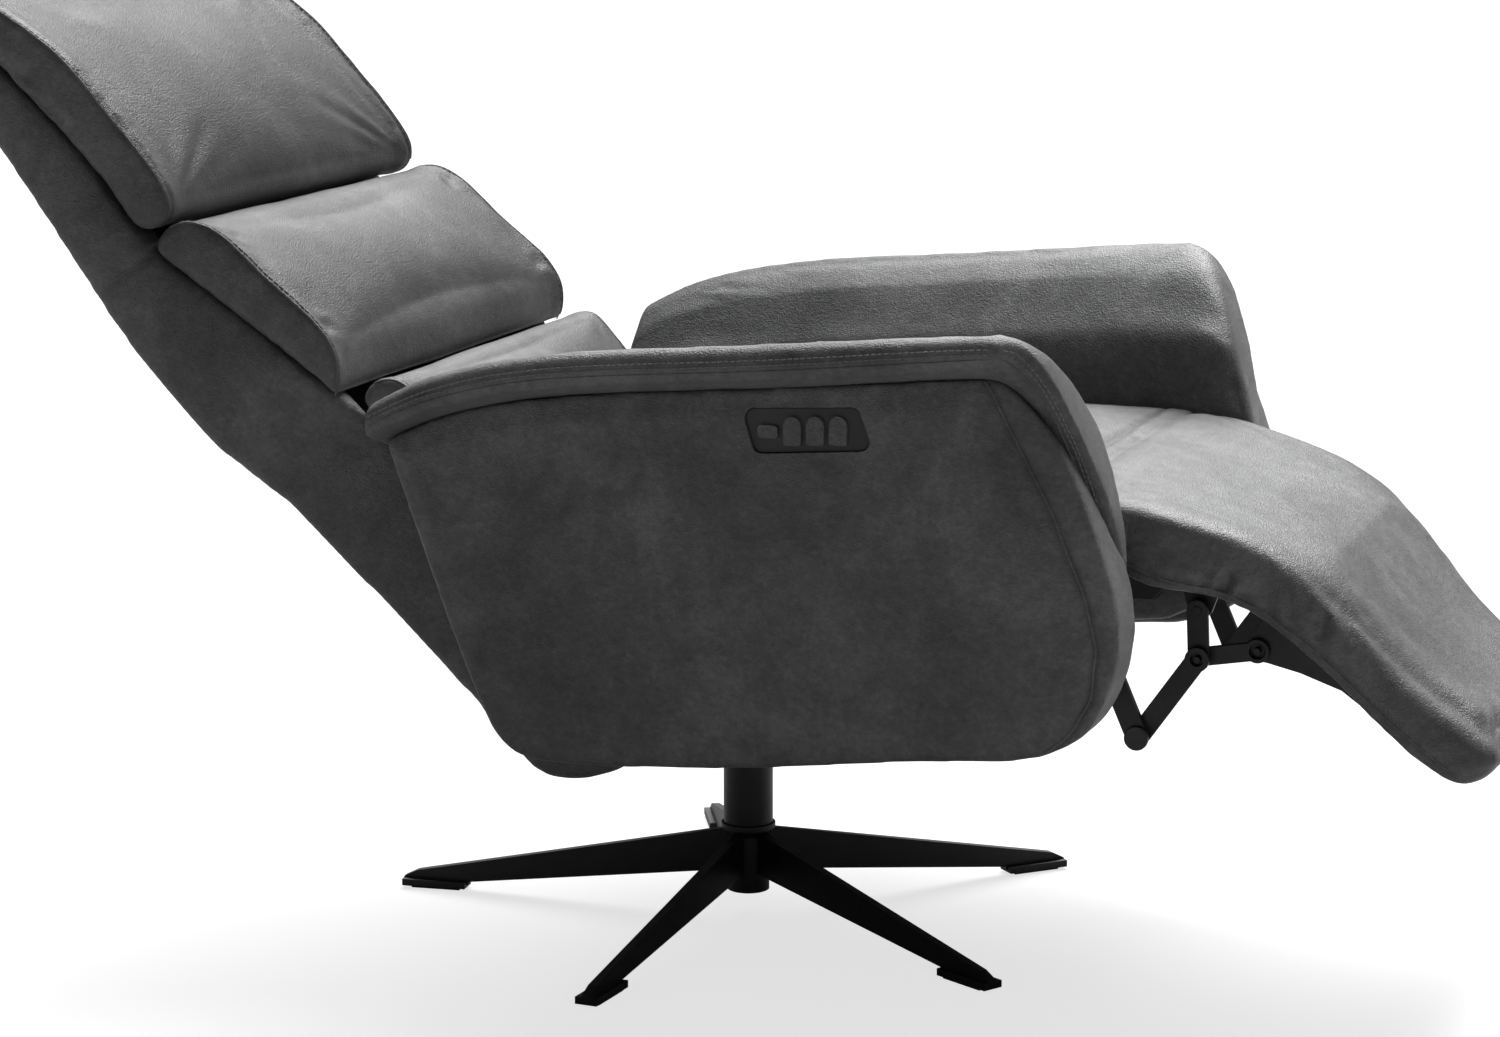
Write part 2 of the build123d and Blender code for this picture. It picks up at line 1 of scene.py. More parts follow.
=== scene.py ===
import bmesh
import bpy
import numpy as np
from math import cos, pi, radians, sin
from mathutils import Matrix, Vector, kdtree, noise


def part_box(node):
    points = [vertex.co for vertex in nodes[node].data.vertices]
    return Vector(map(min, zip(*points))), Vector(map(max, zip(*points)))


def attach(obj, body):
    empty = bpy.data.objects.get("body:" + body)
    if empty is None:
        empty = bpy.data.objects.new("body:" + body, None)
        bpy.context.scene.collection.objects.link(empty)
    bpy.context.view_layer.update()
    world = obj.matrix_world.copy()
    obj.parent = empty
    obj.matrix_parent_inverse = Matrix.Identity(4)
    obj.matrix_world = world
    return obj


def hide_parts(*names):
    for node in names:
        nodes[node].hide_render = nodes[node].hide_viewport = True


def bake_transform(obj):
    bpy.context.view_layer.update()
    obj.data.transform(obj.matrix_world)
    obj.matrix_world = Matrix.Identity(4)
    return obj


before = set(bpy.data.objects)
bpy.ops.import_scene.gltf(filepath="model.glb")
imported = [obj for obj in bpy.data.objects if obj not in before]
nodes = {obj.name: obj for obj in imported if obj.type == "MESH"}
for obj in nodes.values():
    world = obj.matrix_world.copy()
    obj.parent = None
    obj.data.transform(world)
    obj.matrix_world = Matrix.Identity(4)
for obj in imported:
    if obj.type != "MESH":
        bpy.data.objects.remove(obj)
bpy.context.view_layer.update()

# %% [markdown]
# # A recliner armchair, dressed in nubuck leather
# The frame that has just been loaded is the chair's engineering model: a steel star base, a seat frame, two arms,
# a back in three cushions, a leg rest on a linkage, and the motors. Every solid of it sits at the origin and
# carries its place in its own mesh, so what is modelled here is put straight where it belongs.
# This lesson keeps the metal, the wood and the plastic as they are and gives them finishes. The upholstery is
# different. A plain solid never looks like leather over foam, so each cushion gets a cover of its own: it starts as
# a copy of the solid, is filled with air until it swells between its seams, and is then creased, stitched and piped.

# %% [markdown]
# ## Working on one object at a time
# Blender's operators act on whatever is selected. Loading a model leaves all of it selected, so each step first
# picks the one object it means. Two small helpers keep that honest: one picks an object, the other adds a modifier,
# sets it and applies it, which is what a person does in the modifier panel.

# %% Pick one object, apply one modifier
def pick(*objects):
    if bpy.context.object and bpy.context.object.mode != "OBJECT":
        bpy.ops.object.mode_set(mode="OBJECT")
    bpy.ops.object.select_all(action="DESELECT")
    for item in objects:
        item.select_set(True)
    bpy.context.view_layer.objects.active = objects[-1]
    return objects[-1]


def shape(item, kind, **settings):
    pick(item)
    bpy.ops.object.modifier_add(type=kind)
    modifier = item.modifiers[-1]
    for name, value in settings.items():
        setattr(modifier, name, value)
    bpy.ops.object.modifier_apply(modifier=modifier.name)
    return item


print("helpers ready")

# %% [markdown]
# ## A copy of the upholsterer's foam
# The cover of a cushion is cut to its foam, so the foam's solid is the right thing to start from. The frame's own
# meshes must stay untouched, and they are loose triangles, so a copy is taken and its doubled points are merged.
# Several solids may go into one cover: the leg rest is two boards under a single piece of leather.

# %% Copy solids into one closed mesh
def foam_copy(name, *names):
    twins = []
    for node in names:
        twin = nodes[node].copy()
        twin.data = twin.data.copy()
        twin.parent = None
        twin.hide_viewport = twin.hide_render = False
        for key in list(twin.keys()):
            del twin[key]
        twin.name = name
        bpy.context.scene.collection.objects.link(twin)
        twins.append(twin)
    foam = pick(*twins)
    if len(twins) > 1:
        bpy.ops.object.join()
    foam.name = foam.data.name = name
    bpy.ops.object.mode_set(mode="EDIT")
    bpy.ops.mesh.select_all(action="SELECT")
    bpy.ops.mesh.remove_doubles(threshold=0.00004)
    bpy.ops.object.mode_set(mode="OBJECT")
    return foam


# %% Find the folds of the foam, where panels of leather meet
def folds(foam, keep, angle=38):
    """Ends of the sharp edges for which keep(middle, normal, normal) is true, one pair for each edge."""
    mesh = bmesh.new()
    mesh.from_mesh(foam.data)
    found = []
    for edge in mesh.edges:
        if len(edge.link_faces) == 2 and edge.calc_face_angle(0) > radians(angle):
            middle = (edge.verts[0].co + edge.verts[1].co) / 2
            if keep(middle, edge.link_faces[0].normal, edge.link_faces[1].normal):
                found.append((edge.verts[0].co.copy(), edge.verts[1].co.copy()))
    mesh.free()
    return found


def dense(pairs, step=0.003):
    points = []
    for start, end in pairs:
        parts = max(1, int((end - start).length / step))
        points += [start.lerp(end, k / parts) for k in range(parts + 1)]
    return points


def as_pairs(path):
    path = [Vector(point) for point in path]
    return list(zip(path[:-1], path[1:]))


def distance_to(points, places):
    """How far each place is from the nearest of the points."""
    if not points:
        return np.full(len(places), 9.0)
    tree = kdtree.KDTree(len(points))
    for index, point in enumerate(points):
        tree.insert(point, index)
    tree.balance()
    return np.array([tree.find(place)[2] for place in places])


def places_of(item):
    flat = np.empty(len(item.data.vertices) * 3)
    item.data.vertices.foreach_get("co", flat)
    return flat.reshape(-1, 3)


def normals_of(item):
    flat = np.empty(len(item.data.vertices) * 3)
    item.data.vertices.foreach_get("normal", flat)
    return flat.reshape(-1, 3)


def put_places(item, places):
    item.data.vertices.foreach_set("co", np.ascontiguousarray(places, dtype=np.float64).ravel())
    item.data.update()


def weigh(item, name, weights):
    """Vertex group with the given weights, in steps of a twentieth."""
    group = item.vertex_groups.get(name) or item.vertex_groups.new(name=name)
    level = np.round(np.clip(weights, 0, 1) * 20).astype(int)
    for value in range(1, 21):
        chosen = np.flatnonzero(level == value).tolist()
        if chosen:
            group.add(chosen, value / 20, "REPLACE")
    return group


print("seam tools ready")

# %% [markdown]
# ## Filling a cover
# A real cover is sewn a little small and the foam presses it out, so it is crowned in the middle of each panel and
# pulled in at its seams. Sculpting that by hand is slow and looks it. A cloth simulation with air pressure inside
# does what the foam does. The mesh is first remade from even squares, because cloth on long triangles tears itself
# into spikes. The points along the seams are pinned. How far a point may travel is capped, and the cap goes to
# nothing where the cushion rests on something, so that it stays flat there.

# %% Remake, round and fill
def fill_with_air(item, pins, room, cap, pressure=4.0, frames=16):
    before = places_of(item)
    outside = normals_of(item)
    weigh(item, "pins", pins)
    pick(item)
    bpy.ops.object.modifier_add(type="CLOTH")
    cloth = item.modifiers[-1]
    cloth.settings.vertex_group_mass = "pins"
    cloth.settings.use_pressure = True
    cloth.settings.uniform_pressure_force = pressure
    cloth.settings.effector_weights.gravity = 0
    cloth.settings.quality = 3
    cloth.settings.tension_stiffness = 8
    cloth.settings.compression_stiffness = 8
    cloth.settings.bending_stiffness = 1.0
    cloth.collision_settings.use_collision = False
    cloth.point_cache.frame_start = 1
    cloth.point_cache.frame_end = frames
    for step in range(1, frames + 1):
        bpy.context.scene.frame_set(step)
    bpy.ops.object.modifier_apply(modifier=cloth.name)
    bpy.context.scene.frame_set(1)
    item.vertex_groups.remove(item.vertex_groups["pins"])
    move = places_of(item) - before
    outward = (move * outside).sum(axis=1)
    move += outside * (np.maximum(outward, 0) - outward)[:, None]
    length = np.linalg.norm(move, axis=1)
    limit = cap * room
    move *= np.minimum(1, limit / np.maximum(length, 1e-9))[:, None]
    put_places(item, before + move)
    return float(np.linalg.norm(move, axis=1).max())


def cover(name, solids, voxel=0.006, close=0.0045, soft_steps=5, seams=(), swell=(), cap=0.024,
          sink=0.004, wide=None, reach=0.03, groove=0.0022, uneven=0.0012, pucker=0.0009, pressure=5.0,
          doubled=False):
    """Leather cover over one or more solids. swell is pairs of a direction and how free the cover is that way."""
    foam = foam_copy(name, *solids)
    if doubled:
        inner = foam_copy(name + "_inner", *solids)
        put_places(inner, places_of(inner) * np.array([1, 0.955, 1]))
        pick(inner, foam)
        bpy.ops.object.join()
    lines = list(seams(foam)) if callable(seams) else list(seams)
    sewn = dense(lines)
    broad = dense(wide(foam)) if wide else []
    if close:
        shape(foam, "REMESH", mode="VOXEL", voxel_size=0.004)
        put_places(foam, places_of(foam) + normals_of(foam) * close)
    shape(foam, "REMESH", mode="VOXEL", voxel_size=voxel)
    if close:
        put_places(foam, places_of(foam) - normals_of(foam) * close)
    if broad:
        near = distance_to(broad, places_of(foam))
        weigh(foam, "broad", np.exp(-((near / reach) ** 2)))
        shape(foam, "SMOOTH", factor=0.5, iterations=44, vertex_group="broad")
        foam.vertex_groups.remove(foam.vertex_groups["broad"])
    shape(foam, "SMOOTH", factor=0.5, iterations=soft_steps)
    facing = normals_of(foam)
    room = np.zeros(len(facing))
    for direction, free in swell:
        way = np.array(Vector(direction).normalized())
        room = np.maximum(room, free * np.clip((facing @ way - 0.15) / 0.6, 0, 1))
    away = distance_to(sewn, places_of(foam))
    room = room * np.clip(away / 0.03, 0, 1)
    put_places(foam, places_of(foam) - facing * (sink * room)[:, None])
    if swell:
        pins = ((away < voxel * 0.9) | (room < 0.02)).astype(float)
        most = fill_with_air(foam, pins, room, cap, pressure)
        shape(foam, "SMOOTH", factor=0.5, iterations=2)
    else:
        most = sink
        put_places(foam, places_of(foam) + facing * (sink * 2 * room)[:, None])
    shape(foam, "SUBSURF", levels=1, render_levels=1)
    crease(foam, sewn, groove, uneven, pucker)
    pick(foam)
    bpy.ops.object.shade_smooth()
    print(name, "faces", len(foam.data.polygons), "moved at most", round(most * 1000, 1), "mm")
    return foam


# %% [markdown]
# ## Creases
# Leather is never even. It dips into each seam, puckers a little on both sides of the thread, and rolls very
# gently over the foam. These are pushed into the finished mesh along its normals, so that light falls on real
# form. How close a point is to a seam is also kept as an attribute, which the leather reads to paint shade into the
# fold.

# %% Press seams, puckers and unevenness into a cover
def crease(item, sewn, groove, uneven, pucker=0.0009):
    places = places_of(item)
    facing = normals_of(item)
    away = distance_to(sewn, places)
    push = -groove * np.exp(-((away / 0.0045) ** 2))
    gather = np.array([noise.noise(Vector(p) * 85) for p in places])
    push += pucker * gather * np.exp(-((away / 0.016) ** 2))
    roll = np.array([noise.noise(Vector(p) * 9.0 + Vector((3.1, 0.4, 7.7))) for p in places])
    small = np.array([noise.noise(Vector(p) * 26.0 + Vector((1.3, 5.9, 2.2))) for p in places])
    push += uneven * (roll + 0.35 * small)
    put_places(item, places + facing * push[:, None])
    # The seam attribute below is the mask for the shade that the leather paints along each seam.
    mark = item.data.attributes.get("seam") or item.data.attributes.new("seam", "FLOAT", "POINT")
    mark.data.foreach_set("value", np.exp(-((away / 0.004) ** 2)).astype(np.float32))


def wrinkle(item, marks):
    """Presses folds into a cover. Each mark is two ends, a width and a depth in metres; a ridge stands beside it."""
    places = places_of(item)
    facing = normals_of(item)
    push = np.zeros(len(places))
    for start, end, width, depth in marks:
        a = np.array(start)
        along = np.array(end) - a
        length = np.linalg.norm(along)
        along = along / length
        t = np.clip((places - a) @ along, 0, length)
        bend = 0.35 * width * np.sin(t / length * 7.0)
        off = places - a - t[:, None] * along
        far = np.linalg.norm(off, axis=1)
        fade = np.sin(np.clip(t / length, 0, 1) * pi * 0.9 + 0.15)
        side = np.exp(-(((far - np.abs(bend)) / width) ** 2))
        rim = np.exp(-(((far - 2.2 * width) / width) ** 2))
        push += fade * (-depth * side + 0.45 * depth * rim) * (far < 5 * width)
    put_places(item, places + facing * push[:, None])

print("crease tools ready")

# %% [markdown]
# ## Thread and piping
# A topstitch is a short, fat loop of thread lying in its own small dimple, one after another, seven or so
# millimetres beside the seam. One stitch is modelled from a six-sided cylinder whose ends are drawn in, and an
# array along a curve repeats it. Piping is a thin cord wrapped in leather and caught in the seam, so it is a tube
# along the same curve. Both curves are first laid onto the finished cover, so they follow its swelling.

# %% Curves that lie on a cover
def chain(pairs):
    """Points of the longest run that the pairs of ends make when they are put end to end."""
    links = {}
    spot = {}
    for start, end in pairs:
        a = tuple(round(v, 4) for v in start)
        b = tuple(round(v, 4) for v in end)
        spot[a] = start
        spot[b] = end
        links.setdefault(a, []).append(b)
        links.setdefault(b, []).append(a)
    best = []
    ends = [key for key in links if len(set(links[key])) == 1] or list(links)[:1]
    for first in ends:
        run = [first]
        used = {first}
        while True:
            following = [key for key in links[run[-1]] if key not in used]
            if not following:
                break
            run.append(following[0])
            used.add(following[0])
        if len(run) > len(best):
            best = run
    return [spot[key] for key in best]


def evenly(path, step):
    """The same run of points, at even steps."""
    path = [Vector(point) for point in path]
    out = [path[0]]
    left = step
    for start, end in zip(path, path[1:]):
        length = (end - start).length
        at = left
        while at <= length:
            out.append(start.lerp(end, at / length))
            at += step
        left = at - length
    return out


def laid_on(skin, path, move=(0, 0, 0), proud=0.0003, step=0.006):
    """The run, moved sideways and then dropped onto the nearest place of the cover."""
    out = []
    for point in evenly(path, step):
        found, place, facing, _ = skin.closest_point_on_mesh(point + Vector(move))
        out.append(place + facing * proud)
    for _ in range(3):
        out = [out[0]] + [(a + 2 * b + c) / 4 for a, b, c in zip(out, out[1:], out[2:])] + [out[-1]]
    return out


def line_through(name, points, thick=0.0):
    curve = bpy.data.curves.new(name, "CURVE")
    curve.dimensions = "3D"
    curve.twist_mode = "MINIMUM"
    spline = curve.splines.new("POLY")
    spline.points.add(len(points) - 1)
    for knot, point in zip(spline.points, points):
        knot.co = (*point, 1)
    curve.bevel_depth = thick
    curve.bevel_resolution = 2
    curve.use_fill_caps = thick > 0
    line = bpy.data.objects.new(name, curve)
    bpy.context.scene.collection.objects.link(line)
    return line


# %% One stitch, and a row of it
def one_stitch(name, length, thick):
    bpy.ops.object.select_all(action="DESELECT")
    bpy.ops.mesh.primitive_cylinder_add(vertices=6, radius=thick / 2, depth=length, end_fill_type="NGON",
                                        rotation=(0, pi / 2, 0))
    stitch = bpy.context.object
    stitch.name = stitch.data.name = name
    bpy.ops.object.transform_apply(location=True, rotation=True, scale=True)
    bpy.ops.object.mode_set(mode="EDIT")
    bpy.ops.mesh.select_mode(type="FACE")
    bpy.ops.mesh.select_all(action="DESELECT")
    mesh = bmesh.from_edit_mesh(stitch.data)
    for face in mesh.faces:
        face.select = abs(face.normal.x) > 0.9
    bmesh.update_edit_mesh(stitch.data)
    bpy.ops.mesh.inset(thickness=thick * 0.2, depth=0)
    for face in mesh.faces:
        if face.select:
            for corner in face.verts:
                corner.co.x += thick * 0.3 * (1 if corner.co.x > 0 else -1)
    bmesh.update_edit_mesh(stitch.data)
    bpy.ops.object.mode_set(mode="OBJECT")
    return stitch


def stitches(name, points, length=0.0044, pitch=0.0066, thick=0.0014):
    line = line_through(name + "_path", points)
    row = one_stitch(name, length, thick)
    total = sum((b - a).length for a, b in zip(points, points[1:]))
    shape(row, "ARRAY", fit_type="FIXED_COUNT", count=max(2, int(total / pitch)), use_relative_offset=False,
          use_constant_offset=True, constant_offset_displace=(pitch, 0, 0))
    shape(row, "CURVE", object=line, deform_axis="POS_X")
    bpy.data.objects.remove(line)
    pick(row)
    bpy.ops.object.shade_smooth()
    row.data.materials.append(thread)
    return row


def piping(name, points, thick=0.0016):
    cord = line_through(name, points, thick)
    pick(cord)
    bpy.ops.object.convert(target="MESH")
    cord = bpy.context.object
    bpy.ops.object.shade_smooth()
    cord.data.materials.append(leather)
    return cord


print("thread and piping ready")

# %% [markdown]
# # Finishes
# Every finish is built from nodes that read the object's own coordinates, so it needs no picture file. Three
# effects return in several finishes: the clouds and the nap of brushed leather, a fine even grain, and dust with
# rubbed patches. Each is a node group that gives out masks and heights only. The shader itself stays in the
# material, with its plain numbers set on its own sockets.

# %% A new material, and short ways to add nodes
def finish(name):
    material = bpy.data.materials.new(name)
    material.use_nodes = True
    return material, material.node_tree, material.node_tree.nodes["Principled BSDF"]


def add(tree, kind, sockets=None, **settings):
    node = tree.nodes.new(kind)
    for key, value in settings.items():
        setattr(node, key, value)
    for key, value in (sockets or {}).items():
        node.inputs[key].default_value = value
    return node


def ramp(tree, stops):
    node = tree.nodes.new("ShaderNodeValToRGB")
    band = node.color_ramp
    while len(band.elements) < len(stops):
        band.elements.new(0.5)
    for element, (at, colour) in zip(band.elements, stops):
        element.position = at
        element.color = (*colour, 1) if len(colour) == 3 else (colour[0],) * 3 + (1,)
    return node


def group(name, inputs, outputs):
    tree = bpy.data.node_groups.new(name, "ShaderNodeTree")
    tree.interface.new_socket("Vector", in_out="INPUT", socket_type="NodeSocketVector")
    for label, value in inputs:
        socket = tree.interface.new_socket(label, in_out="INPUT", socket_type="NodeSocketFloat")
        socket.default_value = value
    for label in outputs:
        tree.interface.new_socket(label, in_out="OUTPUT", socket_type="NodeSocketFloat")
    return tree, tree.nodes.new("NodeGroupInput"), tree.nodes.new("NodeGroupOutput")


def use(tree, what, place, **sockets):
    node = add(tree, "ShaderNodeGroup", node_tree=what)
    tree.links.new(place, node.inputs["Vector"])
    for key, value in sockets.items():
        node.inputs[key].default_value = value
    return node


print("node helpers ready")

# %% [markdown]
# ## Clouds, nap and grain
# Nubuck is leather whose grain side has been sanded to a short nap. The nap lies one way where a hand has passed
# and another way beside it, which shows as soft clouds of lighter and darker grey with a fine streak in them.
# Under it is the leather's own pebble, a millimetre or less across.

# %% The group for brushed leather
nap_tree, nap_in, nap_out = group("brushed_nap", [("Clouds", 7.0), ("Grain", 620.0)], ["Shade", "Height", "Rub"])
links = nap_tree.links
cloud = add(nap_tree, "ShaderNodeTexNoise", {"Detail": 6.0, "Roughness": 0.62, "Distortion": 0.6})
links.new(nap_in.outputs["Vector"], cloud.inputs["Vector"])
links.new(nap_in.outputs["Clouds"], cloud.inputs["Scale"])
mottle = add(nap_tree, "ShaderNodeTexNoise", {"Scale": 46.0, "Detail": 7.0, "Roughness": 0.76, "Distortion": 0.4})
links.new(nap_in.outputs["Vector"], mottle.inputs["Vector"])
stretch = add(nap_tree, "ShaderNodeMapping", {"Scale": (150.0, 60.0, 210.0), "Rotation": (0.3, 0.7, 0.2)})
links.new(nap_in.outputs["Vector"], stretch.inputs["Vector"])
streak = add(nap_tree, "ShaderNodeTexNoise", {"Scale": 1.0, "Detail": 4.0, "Roughness": 0.6})
links.new(stretch.outputs["Vector"], streak.inputs["Vector"])
speck = add(nap_tree, "ShaderNodeTexNoise", {"Scale": 260.0, "Detail": 3.0, "Roughness": 0.7})
links.new(nap_in.outputs["Vector"], speck.inputs["Vector"])
total = None
for pattern, share in ((cloud, 0.5), (mottle, 0.3), (streak, 0.2), (speck, 0.16)):
    part = add(nap_tree, "ShaderNodeMath", {1: share, 2: -0.08}, operation="MULTIPLY_ADD")
    links.new(pattern.outputs["Fac"], part.inputs[0])
    if total:
        links.new(total.outputs[0], part.inputs[2])
    total = part
links.new(total.outputs[0], nap_out.inputs["Shade"])
pebble = add(nap_tree, "ShaderNodeTexVoronoi", {"Randomness": 1.0}, feature="F1")
links.new(nap_in.outputs["Vector"], pebble.inputs["Vector"])
links.new(nap_in.outputs["Grain"], pebble.inputs["Scale"])
fibre = add(nap_tree, "ShaderNodeTexNoise", {"Scale": 900.0, "Detail": 2.0})
links.new(nap_in.outputs["Vector"], fibre.inputs["Vector"])
height = add(nap_tree, "ShaderNodeMath", {1: 0.45}, operation="MULTIPLY_ADD")
links.new(fibre.outputs["Fac"], height.inputs[0])
links.new(pebble.outputs["Distance"], height.inputs[2])
links.new(height.outputs[0], nap_out.inputs["Height"])
rub = add(nap_tree, "ShaderNodeMapRange", {"From Min": 0.52, "From Max": 0.72, "To Min": 0.0, "To Max": 1.0})
links.new(cloud.outputs["Fac"], rub.inputs["Value"])
links.new(rub.outputs[0], nap_out.inputs["Rub"])
print("brushed nap built")


# %% Leather for the covers
def brushed_leather(name, dark, middle, light, painted_seam_shade):
    material, tree, skin = finish(name)
    own = add(tree, "ShaderNodeTexCoord")
    nap = use(tree, nap_tree, own.outputs["Object"])
    tint = ramp(tree, [(0.39, dark), (0.5, middle), (0.62, light)])
    tree.links.new(nap.outputs["Shade"], tint.inputs["Fac"])
    # Painted shade: the seam attribute darkens the colour towards each seam, standing in for the shadow in its
    # groove.
    mark = add(tree, "ShaderNodeAttribute", attribute_name="seam")
    fold = add(tree, "ShaderNodeMix", data_type="RGBA", blend_type="MIX")
    fold.inputs[7].default_value = (*painted_seam_shade, 1)
    soft = add(tree, "ShaderNodeMath", {1: 0.75}, operation="MULTIPLY")
    tree.links.new(mark.outputs["Fac"], soft.inputs[0])
    tree.links.new(soft.outputs[0], fold.inputs[0])
    tree.links.new(tint.outputs["Color"], fold.inputs[6])
    tree.links.new(fold.outputs[2], skin.inputs["Base Color"])
    gloss = add(tree, "ShaderNodeMapRange", {"To Min": 0.47, "To Max": 0.34})
    tree.links.new(nap.outputs["Rub"], gloss.inputs["Value"])
    tree.links.new(gloss.outputs[0], skin.inputs["Roughness"])
    relief = add(tree, "ShaderNodeBump", {"Strength": 0.5, "Distance": 0.0009})
    tree.links.new(nap.outputs["Height"], relief.inputs["Height"])
    broad = add(tree, "ShaderNodeBump", {"Strength": 0.6, "Distance": 0.003})
    tree.links.new(nap.outputs["Shade"], broad.inputs["Height"])
    tree.links.new(relief.outputs["Normal"], broad.inputs["Normal"])
    tree.links.new(broad.outputs["Normal"], skin.inputs["Normal"])
    skin.inputs["Sheen Weight"].default_value = 0.12
    skin.inputs["Sheen Roughness"].default_value = 0.45
    skin.inputs["Specular IOR Level"].default_value = 0.5
    return material


# The last colour is the painted shade along the seams.
leather = brushed_leather("nubuck_grey", (0.056, 0.056, 0.057), (0.094, 0.094, 0.095), (0.152, 0.152, 0.153),
                          (0.03, 0.03, 0.03))
print("leather ready")

# %% [markdown]
# ## Grain and rubbing for hard parts
# Powder coat, plastic and zinc share two things: a fine orange peel in the surface, and faint handling marks that
# change the gloss in patches. One group gives both, with its sizes as inputs.

# %% The group for hard surfaces
peel_tree, peel_in, peel_out = group("peel_and_handling", [("Fine", 700.0), ("Patches", 16.0)], ["Height", "Patch"])
fine = add(peel_tree, "ShaderNodeTexNoise", {"Detail": 3.0, "Roughness": 0.5})
peel_tree.links.new(peel_in.outputs["Vector"], fine.inputs["Vector"])
peel_tree.links.new(peel_in.outputs["Fine"], fine.inputs["Scale"])
peel_tree.links.new(fine.outputs["Fac"], peel_out.inputs["Height"])
patch = add(peel_tree, "ShaderNodeTexNoise", {"Detail": 7.0, "Roughness": 0.68})
peel_tree.links.new(peel_in.outputs["Vector"], patch.inputs["Vector"])
peel_tree.links.new(peel_in.outputs["Patches"], patch.inputs["Scale"])
peel_tree.links.new(patch.outputs["Fac"], peel_out.inputs["Patch"])


def hard_finish(name, dark, light, rough, metallic=0.0, fine=700.0, patches=16.0, relief=0.1, stretch=(1, 1, 1)):
    material, tree, skin = finish(name)
    own = add(tree, "ShaderNodeTexCoord")
    lay = add(tree, "ShaderNodeMapping", {"Scale": stretch})
    tree.links.new(own.outputs["Object"], lay.inputs["Vector"])
    peel = use(tree, peel_tree, lay.outputs["Vector"], Fine=fine, Patches=patches)
    tint = ramp(tree, [(0.35, dark), (0.68, light)])
    tree.links.new(peel.outputs["Patch"], tint.inputs["Fac"])
    tree.links.new(tint.outputs["Color"], skin.inputs["Base Color"])
    gloss = add(tree, "ShaderNodeMapRange", {"From Min": 0.3, "From Max": 0.7, "To Min": rough + 0.07,
                                             "To Max": rough - 0.07})
    tree.links.new(peel.outputs["Patch"], gloss.inputs["Value"])
    tree.links.new(gloss.outputs[0], skin.inputs["Roughness"])
    bump = add(tree, "ShaderNodeBump", {"Strength": relief, "Distance": 0.0005})
    tree.links.new(peel.outputs["Height"], bump.inputs["Height"])
    tree.links.new(bump.outputs["Normal"], skin.inputs["Normal"])
    skin.inputs["Metallic"].default_value = metallic
    return material


powder_black = hard_finish("powder_coat_black", (0.006, 0.006, 0.006), (0.013, 0.013, 0.014), 0.42)
zinc = hard_finish("zinc_plate", (0.42, 0.43, 0.44), (0.6, 0.61, 0.62), 0.34, metallic=1.0, fine=900.0)
rod_steel = hard_finish("ground_rod", (0.55, 0.55, 0.56), (0.68, 0.68, 0.69), 0.22, metallic=1.0, relief=0.04,
                        stretch=(0.2, 3, 3))
bronze = hard_finish("turned_bronze", (0.36, 0.22, 0.08), (0.5, 0.33, 0.14), 0.36, metallic=1.0)
plastic = hard_finish("moulded_plastic", (0.024, 0.024, 0.024), (0.034, 0.034, 0.034), 0.5, fine=1400.0, relief=0.2)
key_plastic = hard_finish("key_plastic", (0.026, 0.026, 0.026), (0.036, 0.036, 0.036), 0.46, fine=1600.0, relief=0.12)
thread = hard_finish("polyester_thread", (0.15, 0.15, 0.152), (0.24, 0.24, 0.242), 0.55, fine=1800.0, relief=0.5,
                     stretch=(1, 1, 2.5))
lining = hard_finish("black_lining", (0.007, 0.007, 0.007), (0.013, 0.013, 0.013), 0.85, fine=1500.0, relief=0.6)
print("hard finishes ready")

# %% [markdown]
# ## Plywood and webbing
# The boards under the cushions are birch plywood: pale, with long grain and thin darker glue lines on the edges.
# The webbing is a woven elastic band, so its rows run across the seat and show as small ribs.

# %% Plywood and webbing
def grained(name, kind, sockets, stops, strength, distance, rough, stretch=(1, 1, 1), **settings):
    """A finish whose colour and relief both follow one pattern."""
    material, tree, skin = finish(name)
    own = add(tree, "ShaderNodeTexCoord")
    lay = add(tree, "ShaderNodeMapping", {"Scale": stretch})
    tree.links.new(own.outputs["Object"], lay.inputs["Vector"])
    grain = add(tree, kind, sockets, **settings)
    tree.links.new(lay.outputs["Vector"], grain.inputs["Vector"])
    tint = ramp(tree, stops)
    tree.links.new(grain.outputs["Fac"], tint.inputs["Fac"])
    tree.links.new(tint.outputs["Color"], skin.inputs["Base Color"])
    bump = add(tree, "ShaderNodeBump", {"Strength": strength, "Distance": distance})
    tree.links.new(grain.outputs["Fac"], bump.inputs["Height"])
    tree.links.new(bump.outputs["Normal"], skin.inputs["Normal"])
    skin.inputs["Roughness"].default_value = rough
    return material


plywood = grained("birch_plywood", "ShaderNodeTexNoise", {"Scale": 6.0, "Detail": 8.0, "Distortion": 0.7},
                  [(0.35, (0.36, 0.24, 0.13)), (0.62, (0.55, 0.41, 0.25))], 0.2, 0.0006, 0.62,
                  stretch=(14.0, 2.2, 14.0))
webbing = grained("elastic_webbing", "ShaderNodeTexWave", {"Scale": 130.0, "Distortion": 0.4, "Detail": 1.0},
                  [(0.2, (0.012, 0.012, 0.012)), (0.8, (0.045, 0.045, 0.046))], 0.6, 0.0008, 0.8,
                  bands_direction="Y")
print("plywood and webbing ready")

# %% [markdown]
# ## Dressing the hard parts
# The frame's own solids keep their shape. Their edges are dead sharp, though, and no pressed or welded part has a
# dead sharp edge, so each of them carries a weld and a small bevel that catches a line of light.

